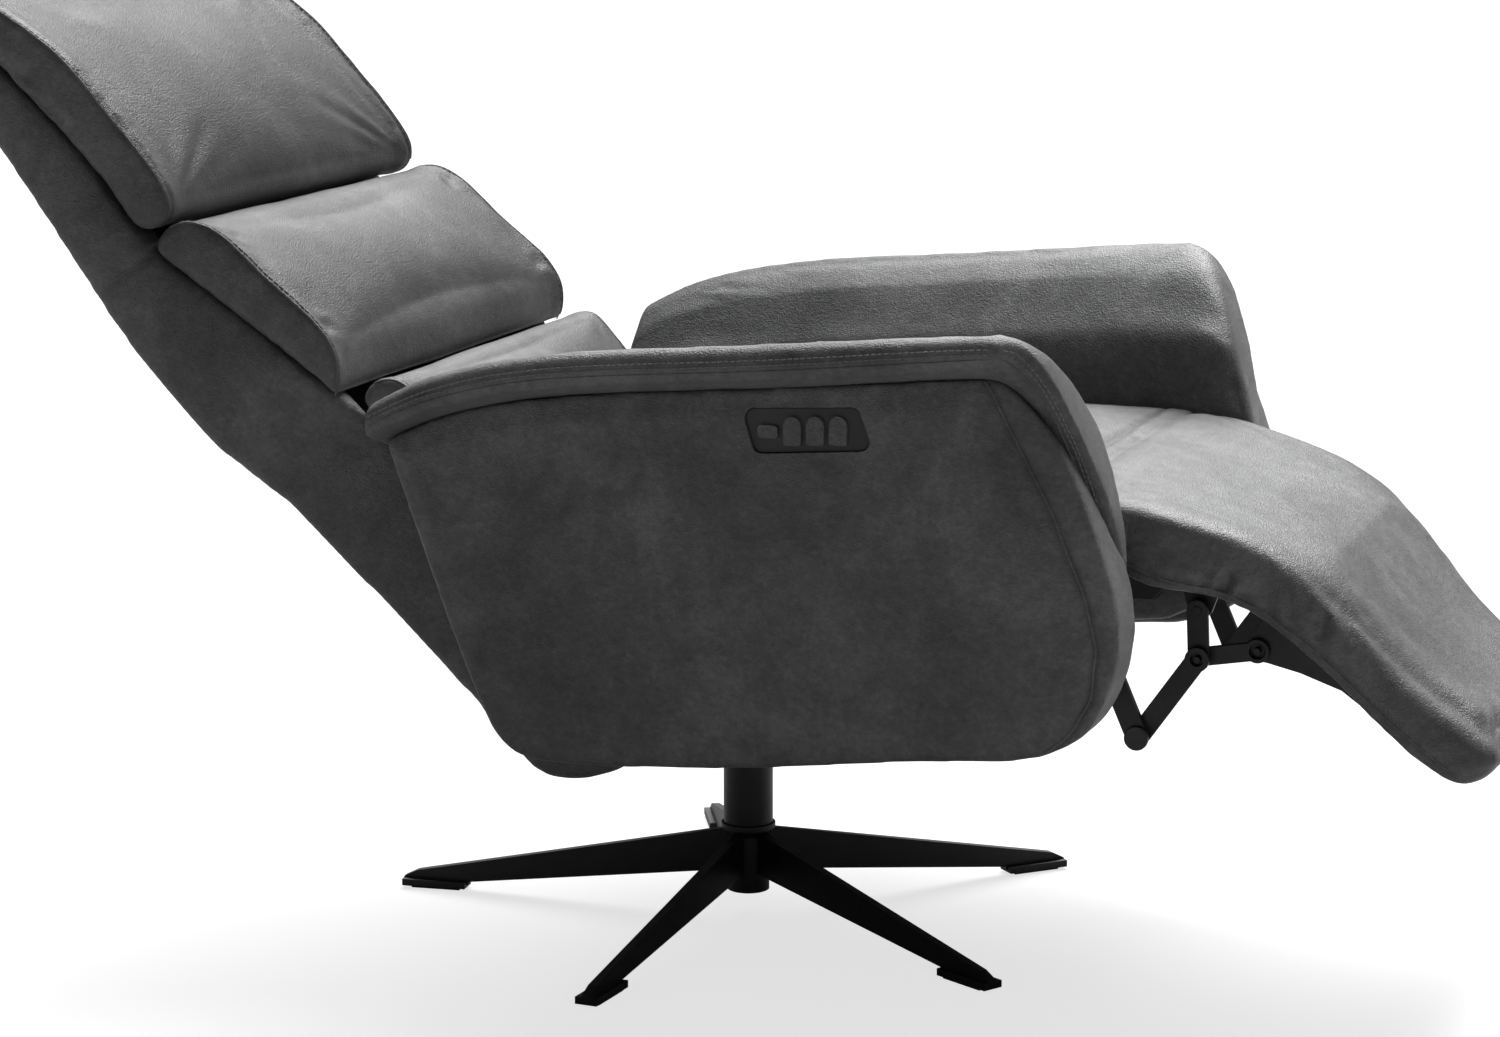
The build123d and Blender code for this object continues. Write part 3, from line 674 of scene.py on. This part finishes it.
# %% Which part wears which finish
wears = {
    powder_black: ["base_hub", "base_leg_1", "base_leg_2", "base_leg_3", "base_leg_4", "base_leg_5", "post_tube",
                   "swivel_plate", "cross_beams", "side_rails", "front_brackets", "pivot_brackets", "back_plates",
                   "back_cross_tubes", "headrest_tube", "headrest_knuckles", "calf_brackets", "foot_brackets",
                   "torque_shaft", "lower_links", "knee_links", "strut_links", "short_links"],
    zinc: ["swivel_spindle", "spindle_washers", "swivel_bolts", "pivot_pins", "arm_bolts"],
    rod_steel: ["leg_motor_rod", "back_motor_rod"],
    bronze: ["swivel_bush"],
    plastic: ["floor_glides", "control_box", "control_panel", "switch_housing", "headrest_motor",
              "leg_motor_body", "back_motor_body", "knee_rivets"],
    key_plastic: ["rocker_1", "rocker_2", "rocker_3", "power_key"],
    plywood: ["seat_battens", "arm_cores", "headrest_board"],
    lining: ["calf_board", "foot_board"],
    webbing: ["seat_webbing"],
}
edge_size = {"control_panel": 0.0011, "rocker_1": 0.0009, "rocker_2": 0.0009, "rocker_3": 0.0009,
             "power_key": 0.0006, "seat_webbing": 0.0003, "pivot_pins": 0.0004, "spindle_washers": 0.0002}
for material, parts in wears.items():
    for part in parts:
        solid = nodes[part]
        solid.data.materials.clear()
        solid.data.materials.append(material)
        weld = solid.modifiers.new("weld", "WELD")
        weld.merge_threshold = 0.00003
        flats = solid.modifiers.new("flats", "DECIMATE")
        flats.decimate_type = "DISSOLVE"
        flats.angle_limit = radians(0.4)
        bevel = solid.modifiers.new("edge", "BEVEL")
        bevel.width = edge_size.get(part, 0.0008)
        bevel.segments = 2
        bevel.limit_method = "ANGLE"
        bevel.angle_limit = radians(35)
        bevel.use_clamp_overlap = True
        bevel.loop_slide = False
        even_out = solid.modifiers.new("normals", "WEIGHTED_NORMAL")
        even_out.keep_sharp = True
print("hard parts dressed:", sum(len(parts) for parts in wears.values()))

# %% [markdown]
# # The upholstery, piece by piece
# ## Back shell
# The back is a padded tray: a flat rear, two sides and a rolled lower end, with the cushions lying in it. Its rear
# and sides are tight, so they swell only a little. One seam crosses it where the side changes direction.

# %% Back shell
def side_edge(middle, one, two):
    return (abs(one.y) > 0.8) != (abs(two.y) > 0.8)


def shell_seams(foam):
    found = [pair for pair in folds(foam, side_edge) if abs(pair[0].y) > 0.24]
    for side in (-1, 1):
        found += as_pairs([(-0.551, side * 0.272, 0.606), (-0.520, side * 0.274, 0.630),
                           (-0.484, side * 0.274, 0.655)])
        found += as_pairs([(-0.165, side * 0.25, 0.215), (-0.150, side * 0.25, 0.242)])
    found += as_pairs([(-0.551, y / 100, 0.606) for y in range(-27, 28, 3)])
    return found


shell_cover = cover("back_shell_cover", ["back_shell"], voxel=0.007, close=0.0, soft_steps=16,
                    seams=shell_seams, cap=0.008,
                    swell=[((-0.7, 0, -0.72), 0.8), ((0, 1, 0), 0.4), ((0, -1, 0), 0.4)], sink=0.002,
                    groove=0.001, pucker=0.0002, uneven=0.0009)

# %% [markdown]
# ## Head, middle and lumbar cushions
# Each is a box cushion: a crowned face, plain sides and a flat rear against the shell. The face is sewn to the
# sides along an edge that carries a row of topstitching. The lower two have a rounded foot that rolls about the
# hinge behind it.

# %% Back cushions
def sides_only(foam):
    return [pair for pair in folds(foam, side_edge) if abs(pair[0].y) > 0.2]


def head_sides(foam):
    """The outer edges only: the head cushion's foam is also slotted for its hinge plates."""
    return [pair for pair in sides_only(foam) if abs(pair[0].y) > 0.25]


head_cover = cover("head_cover", ["head_cushion"], doubled=True, seams=head_sides, cap=0.022, sink=0.007,
                   swell=[((0.68, 0, 0.73), 1.0), ((0, 1, 0), 0.45), ((0, -1, 0), 0.45), ((0.8, 0, -0.4), 0.4)])
middle_cover = cover("middle_cover", ["middle_cushion"], seams=sides_only, cap=0.022, sink=0.006,
                     swell=[((0.66, 0, 0.75), 1.0), ((0, 1, 0), 0.45), ((0, -1, 0), 0.45), ((0.9, 0, -0.2), 0.5)])
lumbar_cover = cover("lumbar_cover", ["lumbar_cushion"], seams=sides_only, cap=0.016, sink=0.004,
                     swell=[((0.55, 0, 0.83), 0.8), ((0, 1, 0), 0.1), ((0, -1, 0), 0.1)])

# %% [markdown]
# ## Seat and leg rest
# The seat is a deep slab between the arms, crowned on top. The leg rest is two upholstered boards under one piece
# of leather: its shoulders are broad and soft, and its only seam runs low along the side, just above the edge.

# %% Seat cushion
def seat_seams(foam):
    return sides_only(foam) + as_pairs([(0.3505, y / 100, 0.4795) for y in range(-24, 25)])


seat_cover = cover("seat_cover", ["seat_cushion"], seams=seat_seams, cap=0.024, sink=0.008,
                   swell=[((0, 0, 1), 1.0)])


# %% Leg rest
def leg_seams(foam):
    low = folds(foam, lambda middle, one, two: side_edge(middle, one, two) and min(one.z, two.z) < -0.3)
    up = Vector((0.004, 0, 0.009))
    return [(start + up, end + up) for start, end in low if abs(start.y) > 0.17]


def leg_shoulders(foam):
    return folds(foam, lambda middle, one, two: side_edge(middle, one, two) and max(one.z, two.z) > 0.2)


leg_cover = cover("leg_rest_cover", ["calf_pad", "foot_pad"], seams=leg_seams, wide=leg_shoulders,
                  reach=0.04, cap=0.014, sink=0.003,
                  swell=[((0.3, 0, 0.95), 0.7), ((0.7, 0, 0.7), 0.7), ((0, 1, 0), 0.3),
                                     ((0, -1, 0), 0.3), ((0.9, 0, 0.2), 0.4)], uneven=0.002)

# %% [markdown]
# ## Arms
# Each arm is a wooden core in foam. Its outer body is a tight slab with a rounded front, sewn along a line set back
# from the front. The inner pad flares outward at the top into a lip that hangs over the body. Both arms are alike,
# so the left one is made and its mirror image is the right one.

# %% Left arm
front_seam = [(0.333, 0.590), (0.355, 0.547), (0.391, 0.480), (0.423, 0.404), (0.433, 0.361), (0.429, 0.317),
              (0.412, 0.285), (0.386, 0.259)]


def arm_seams(foam):
    return as_pairs([(x, 0.335, z) for x, z in front_seam])


arm_left = cover("arm_cover_left", ["arm_body_left"], voxel=0.006, seams=arm_seams, cap=0.006, sink=0.001,
                 swell=[((0, 1, 0), 0.5)], uneven=0.0009)
# The body's inner top corner is tucked outward, so that it stays under the pad.
inner_corner = np.array([0.358, 0.268, 0.576])
tuck = 0.012
spots = places_of(arm_left)
spots[:, 1] += tuck * np.exp(-((np.linalg.norm(spots - inner_corner, axis=1) / 0.018) ** 2))
put_places(arm_left, spots)


def pad_bends(foam):
    """Edges of the front corner and of the bend where the flat wall starts to flare."""
    return folds(foam, lambda middle, one, two: (0.322 < middle.x < 0.375 and middle.z > 0.54) or
                 (middle.y < 0.285 and 0.46 < middle.z and middle.x < 0.375), angle=6)


pad_left = cover("arm_pad_cover_left", ["arm_pad_left"], voxel=0.005, wide=pad_bends, reach=0.02, cap=0.006,
                 sink=0.001, soft_steps=4, uneven=0.0012,
                 swell=[((0, -1, 0.3), 0.8), ((0, 0, 1), 0.6), ((0, 1, 0.4), 0.4)])
# Leather passes from the flat wall into the flare without a crease, so that bend is eased on the inner side.
bend_height = 0.54
spots = places_of(pad_left)
bend = np.exp(-(((spots[:, 2] - bend_height) / 0.045) ** 2)) * (spots[:, 1] < 0.295)
weigh(pad_left, "bend", bend * np.clip((0.378 - spots[:, 0]) / 0.02, 0, 1))
shape(pad_left, "SMOOTH", factor=0.5, iterations=240, vertex_group="bend")
pad_left.vertex_groups.remove(pad_left.vertex_groups["bend"])


# %% Right arm, as a mirror image
def mirrored(item, name):
    twin = item.copy()
    twin.data = item.data.copy()
    twin.name = twin.data.name = name
    bpy.context.scene.collection.objects.link(twin)
    places = places_of(twin)
    places[:, 1] *= -1
    put_places(twin, places)
    pick(twin)
    bpy.ops.object.mode_set(mode="EDIT")
    bpy.ops.mesh.select_all(action="SELECT")
    bpy.ops.mesh.flip_normals()
    bpy.ops.object.mode_set(mode="OBJECT")
    return twin


arm_right = mirrored(arm_left, "arm_cover_right")
pad_right = mirrored(pad_left, "arm_pad_cover_right")
print("right arm:", len(arm_right.data.polygons), "faces")

# %% [markdown]
# ## The pocket for the control panel
# The panel sits in a recess of the right arm, its face just below the leather. The leather is drawn down to the
# panel's rim, and the pocket behind the rim is cut by subtracting a copy of the panel grown by a hair.

# %% Cut the pocket
panel = foam_copy("pocket_cutter", "control_panel")
outer = places_of(panel)
middle_of_panel = outer.mean(axis=0)
grown = (outer - middle_of_panel) * np.array([1.018, 6.0, 1.045]) + middle_of_panel
grown[:, 1] -= 0.004
put_places(panel, grown)
shape(panel, "REMESH", mode="VOXEL", voxel_size=0.0016)
shape(panel, "DECIMATE", decimate_type="DISSOLVE", angle_limit=radians(6))
skin_now = places_of(arm_right)
low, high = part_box("control_panel")
gap = np.hypot(np.maximum(np.maximum(low.x - skin_now[:, 0], skin_now[:, 0] - high.x), 0),
               np.maximum(np.maximum(low.z - skin_now[:, 2], skin_now[:, 2] - high.z), 0))
dip = np.exp(-((gap / 0.008) ** 2)) * (skin_now[:, 1] < -0.32)
skin_now[:, 1] += 0.0012 * dip
put_places(arm_right, skin_now)
shape(arm_right, "BOOLEAN", operation="DIFFERENCE", object=panel, solver="EXACT")
bpy.data.objects.remove(panel)
print("pocket cut:", len(arm_right.data.polygons), "faces")

# %% [markdown]
# ## Folds that a sitter leaves
# Where leather turns a corner it has too much length on the inside, and that ends up as tucks. They show at the
# knee of the leg rest, along its low seam, and at the upper rear corner of the head cushion. Each is pressed in as
# a bent valley with a small ridge beside it, on both sides of the chair.

# %% Tucks and folds
for side in (-1, 1):
    wrinkle(leg_cover, [
        ((0.5265, side * 0.232, 0.418), (0.5145, side * 0.230, 0.390), 0.0046, 0.0052),
        ((0.5715, side * 0.226, 0.402), (0.5790, side * 0.222, 0.368), 0.0046, 0.0052),
        ((0.6040, side * 0.212, 0.384), (0.6010, side * 0.219, 0.352), 0.0054, 0.0042),
        ((0.6240, side * 0.205, 0.372), (0.6460, side * 0.212, 0.336), 0.0060, 0.0028),
        ((0.5980, side * 0.196, 0.402), (0.6380, side * 0.200, 0.366), 0.0080, 0.0020),
        ((0.7180, side * 0.184, 0.262), (0.7330, side * 0.176, 0.243), 0.0060, 0.0010),
    ])
    wrinkle(head_cover, [
        ((-0.6240, side * 0.277, 0.800), (-0.5960, side * 0.277, 0.786), 0.0050, 0.0030),
        ((-0.6000, side * 0.277, 0.800), (-0.5760, side * 0.277, 0.766), 0.0060, 0.0028),
        ((-0.6400, side * 0.277, 0.826), (-0.6050, side * 0.277, 0.812), 0.0070, 0.0024),
        ((-0.5560, side * 0.250, 0.790), (-0.5280, side * 0.230, 0.748), 0.0090, 0.0013),
    ])
    wrinkle(middle_cover, [
        ((-0.4300, side * 0.262, 0.676), (-0.4100, side * 0.235, 0.664), 0.0060, 0.0018),
        ((-0.3180, side * 0.262, 0.596), (-0.3260, side * 0.235, 0.585), 0.0060, 0.0016),
    ])
print("folds pressed")

# %% Who wears the leather, and what rides with what
dressed = [
    (shell_cover, "backrest", ["back_shell"], 0.85),
    (head_cover, "headrest", ["head_cushion"], 0.7),
    (middle_cover, "backrest", ["middle_cushion"], 0.7),
    (lumbar_cover, "backrest", ["lumbar_cushion"], 0.65),
    (seat_cover, "carriage", ["seat_cushion"], 0.7),
    (arm_left, "carriage", ["arm_body_left"], 0.9),
    (arm_right, "carriage", ["arm_body_right"], 0.9),
    (pad_left, "carriage", ["arm_pad_left"], 0.8),
    (pad_right, "carriage", ["arm_pad_right"], 0.8),
]
for piece, body, stands_for, fill in dressed:
    piece.data.materials.clear()
    piece.data.materials.append(leather)
    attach(piece, body)
    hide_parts(*stands_for)
leg_cover.data.materials.clear()
leg_cover.data.materials.append(leather)
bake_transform(leg_cover)
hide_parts("calf_pad", "foot_pad")
print("covers in place:", len(dressed) + 1)

# %% [markdown]
# ## The knee
# Seat and leg rest are two solids with a gap, but one run of leather passes over it and rounds into a knee when the
# leg rest folds down. That run is a grid of squares laid a hair above both covers, its sides turned down, given a
# leather's thickness.

# %% Leather over the knee
def height_over(skins, x, y):
    best = None
    for skin in skins:
        found, place, _, _ = skin.ray_cast(Vector((x, y, 0.62)), Vector((0, 0, -1)))
        if found and (best is None or place.z > best):
            best = place.z
    return best


bpy.ops.object.select_all(action="DESELECT")
bpy.ops.mesh.primitive_grid_add(x_subdivisions=44, y_subdivisions=76, size=1, location=(0, 0, 0))
knee = bpy.context.object
knee.name = knee.data.name = "knee_leather"
flat = places_of(knee)
across_knee = 0.221      # half the width that lies flat
drop_arc = 0.022         # radius over which each side turns down
seat_end = 0.372         # where the seat's leather ends
calf_start = 0.404       # where the calf pad's leather begins
laid = flat.copy()
profile = {}
for index, (u, v, _) in enumerate(flat):
    x = 0.352 + (u + 0.5) * 0.084
    turn = max(0.0, abs(v) - 0.42) / 0.08
    y = np.sign(v) * (min(abs(v), 0.42) / 0.42 * across_knee + drop_arc * sin(min(turn, 0.62) / 0.62 * pi / 2))
    key = (round(x, 5), round(float(min(abs(v), 0.42)), 4), v > 0)
    if key not in profile:
        at = np.sign(v) * min(abs(v), 0.42) / 0.42 * across_knee
        if seat_end < x < calf_start:
            share = (x - seat_end) / (calf_start - seat_end)
            low_side = height_over([seat_cover], seat_end - 0.001, at)
            high_side = height_over([leg_cover], calf_start + 0.001, at)
            profile[key] = low_side + (high_side - low_side) * share + 0.0022 * sin(share * pi)
        else:
            profile[key] = height_over([seat_cover, leg_cover], x, at)
    fade = 0.0008 - 0.0034 * max(0.0, (x - 0.408) / 0.028) ** 2
    drop = drop_arc * (1 - cos(min(turn, 0.62) / 0.62 * pi / 2)) + 0.016 * max(0.0, turn - 0.62) / 0.38
    laid[index] = (x, y, profile[key] + fade - drop)
put_places(knee, laid)
shape(knee, "SMOOTH", factor=0.5, iterations=6)
shape(knee, "SOLIDIFY", thickness=0.0014, offset=-1)
crease(knee, dense(as_pairs([(0.3535, y / 100, 0.4795) for y in range(-24, 25)])), 0.0006, 0.0004)
pick(knee)
bpy.ops.object.shade_smooth()
knee.data.materials.append(leather)
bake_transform(knee)
print("knee leather:", len(knee.data.polygons), "faces")

# %% [markdown]
# ## Piping and topstitching on the cushions
# The face of each back cushion meets its side in a thin piped edge, and the topstitching runs eight millimetres in
# from it. The line comes from the foam's own edge, so it ends where the foam does.

# %% Edge lines of a cushion's face
def face_edges(node, facing, reach=0.25):
    foam = foam_copy("edge_reader", node)
    way = Vector(facing).normalized()
    runs = []
    for side in (-1, 1):
        def keep(middle, one, two):
            top = two if abs(one.y) > abs(two.y) else one
            return side_edge(middle, one, two) and top.dot(way) > reach and middle.y * side > 0.2
        runs.append((side, chain(folds(foam, keep))))
    bpy.data.objects.remove(foam)
    return runs


def trim(piece, body):
    """Makes a seam or cord ride with a body, as part of the cover."""
    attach(piece, body)


for label, skin_piece, node, facing, body in (
        ("head", head_cover, "head_cushion", (0.68, 0, 0.73), "headrest"),
        ("middle", middle_cover, "middle_cushion", (0.66, 0, 0.75), "backrest"),
        ("lumbar", lumbar_cover, "lumbar_cushion", (0.6, 0, 0.8), "backrest")):
    for side, run in face_edges(node, facing):
        mark = "right" if side < 0 else "left"
        edge = laid_on(skin_piece, run, move=(0, -side * 0.003, 0), proud=0.0001, step=0.004)
        trim(piping(label + "_piping_" + mark, edge, 0.0013), body)
        row = laid_on(skin_piece, run, move=(0, -side * 0.0085, 0), proud=0.0002, step=0.004)
        trim(stitches(label + "_stitches_" + mark, row), body)
        print(label, mark, "edge", round(sum((b - a).length for a, b in zip(edge, edge[1:])), 3), "m")

# %% [markdown]
# ## The lip of the arm
# Two rows of stitches run along the outside of the lip, with a seam just below them, and turn down the front.

# %% Arm lips
crest_x = [-0.238, -0.150, 0.0, 0.180, 0.352]
crest_z = [0.540, 0.577, 0.601, 0.616, 0.632]
crest_fit = np.polyfit(crest_x, crest_z, 4)


def lip_run(side, below, inset):
    run = [(x, side * 0.3615, float(np.polyval(crest_fit, x)) - below) for x in np.arange(-0.232, 0.336, 0.012)]
    front = [(0.366, 0.618), (0.386, 0.592), (0.402, 0.556), (0.416, 0.512), (0.428, 0.462), (0.432, 0.424)]
    run += [(x - inset, side * 0.350, z - inset * 0.6) for x, z in front]
    return run


for side, skin_piece in ((-1, pad_right), (1, pad_left)):
    mark = "right" if side < 0 else "left"
    for number, (below, inset) in enumerate(((0.0125, 0.001), (0.0175, 0.006)), 1):
        row = laid_on(skin_piece, lip_run(side, below, inset), proud=0.0002, step=0.006)
        trim(stitches("lip_stitches_" + mark + "_" + str(number), row, length=0.0038, pitch=0.0058, thick=0.0013),
             "carriage")
    seam = laid_on(skin_piece, lip_run(side, 0.0235, 0.012), proud=-0.0004, step=0.006)
    trim(piping("lip_piping_" + mark, seam, 0.0012), "carriage")
    body_skin = arm_right if side < 0 else arm_left
    welt = laid_on(body_skin, [(x, side * 0.336, z) for x, z in front_seam], proud=-0.0003, step=0.005)
    trim(piping("arm_front_piping_" + mark, welt, 0.0013), "carriage")
for side in (-1, 1):
    mark = "right" if side < 0 else "left"
    seam = laid_on(shell_cover, [(-0.549, side * 0.268, 0.609), (-0.541, side * 0.28, 0.618),
                                 (-0.520, side * 0.28, 0.634), (-0.490, side * 0.28, 0.649)],
                   proud=-0.0006, step=0.005)
    trim(piping("shell_piping_" + mark, seam, 0.0011), "backrest")
print("lips stitched")

# %% [markdown]
# ## Low seam of the leg rest
# The piped seam follows the leg rest's lower edge from calf to toe.

# %% Leg rest piping
low_run = [(0.412, 0.244, 0.428), (0.430, 0.243, 0.419), (0.465, 0.240, 0.406), (0.515, 0.231, 0.397),
           (0.552, 0.222, 0.379), (0.592, 0.2142, 0.350), (0.655, 0.2015, 0.290), (0.715, 0.189, 0.240)]
for side in (-1, 1):
    mark = "right" if side < 0 else "left"
    edge = laid_on(leg_cover, [(x, side * y, z) for x, y, z in low_run], proud=-0.0002, step=0.005)
    cord = piping("leg_piping_" + mark, edge, 0.0013)
    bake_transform(cord)
print("leg rest piped")

# %% [markdown]
# # Setting
# A pale floor and plain soft light from above and a little behind, which leaves the near side in soft shade and
# draws a bright line along the shoulders. The camera stands a little above the seat, at the front right.

# %% Floor, light and camera
bpy.ops.object.select_all(action="DESELECT")
bpy.ops.mesh.primitive_plane_add(size=60, location=(0, 0, 0))
floor = bpy.context.object
floor.name = "studio_floor"
pale, tree, skin = finish("pale_floor")
own = add(tree, "ShaderNodeTexCoord")
speck = add(tree, "ShaderNodeTexNoise", {"Scale": 3.0, "Detail": 3.0})
tree.links.new(own.outputs["Object"], speck.inputs["Vector"])
tint = ramp(tree, [(0.3, (0.43, 0.43, 0.432)), (0.7, (0.45, 0.45, 0.452))])
tree.links.new(speck.outputs["Fac"], tint.inputs["Fac"])
tree.links.new(tint.outputs["Color"], skin.inputs["Base Color"])
skin.inputs["Roughness"].default_value = 0.8
skin.inputs["Specular IOR Level"].default_value = 0.1
skin.inputs["Emission Color"].default_value = (1, 1, 1, 1)
seen = add(tree, "ShaderNodeLightPath")
glow = add(tree, "ShaderNodeMapRange", {"To Min": 0.0, "To Max": 0.72})
tree.links.new(seen.outputs["Is Camera Ray"], glow.inputs["Value"])
tree.links.new(glow.outputs[0], skin.inputs["Emission Strength"])
floor.data.materials.append(pale)


def soft_light(name, place, target, size, power):
    lamp = bpy.data.lights.new(name, "AREA")
    lamp.shape = "RECTANGLE"
    lamp.size, lamp.size_y = size
    lamp.energy = power
    holder = bpy.data.objects.new(name, lamp)
    bpy.context.scene.collection.objects.link(holder)
    holder.location = place
    holder.rotation_euler = (Vector(target) - Vector(place)).to_track_quat("-Z", "Y").to_euler()
    return holder


even = bpy.data.lights.new("even_light", "SUN")
even.energy = 4.2
even.angle = radians(50)
overhead = bpy.data.objects.new("even_light", even)
bpy.context.scene.collection.objects.link(overhead)
overhead.rotation_euler = (radians(-36), radians(-10), 0)   # from above, behind the far arm
over_legs = soft_light("top_light", (0.8, 0.45, 1.9), (0.6, 0.0, 0.35), (0.5, 0.7), 6)
over_legs.data.spread = radians(75)
soft_light("front_light", (2.8, -2.0, 1.9), (0.1, 0.0, 0.4), (1.4, 1.4), 6)
world = bpy.data.worlds.new("studio")
bpy.context.scene.world = world
world.use_nodes = True
sky = world.node_tree
shown = sky.nodes["Background"]
shown.inputs["Color"].default_value = (1, 1, 1, 1)
shown.inputs["Strength"].default_value = 1.0
lit = add(sky, "ShaderNodeBackground", {"Color": (1, 1, 1, 1), "Strength": 0.085})
path = add(sky, "ShaderNodeLightPath")
both = add(sky, "ShaderNodeMixShader")
sky.links.new(path.outputs["Is Camera Ray"], both.inputs["Fac"])
sky.links.new(lit.outputs[0], both.inputs[1])
sky.links.new(shown.outputs[0], both.inputs[2])
sky.links.new(both.outputs[0], sky.nodes["World Output"].inputs["Surface"])
bpy.context.scene.view_settings.view_transform = "Standard"

lens = bpy.data.cameras.new("camera")
lens.lens = 97.95
lens.sensor_width = 36
camera = bpy.data.objects.new("camera", lens)
bpy.context.scene.collection.objects.link(camera)
camera.location = (1.2928, -3.6257, 1.1218)
camera.rotation_euler = (radians(79.2), 0, radians(19.6))
bpy.context.scene.camera = camera
print("camera at", tuple(round(v, 3) for v in camera.location))
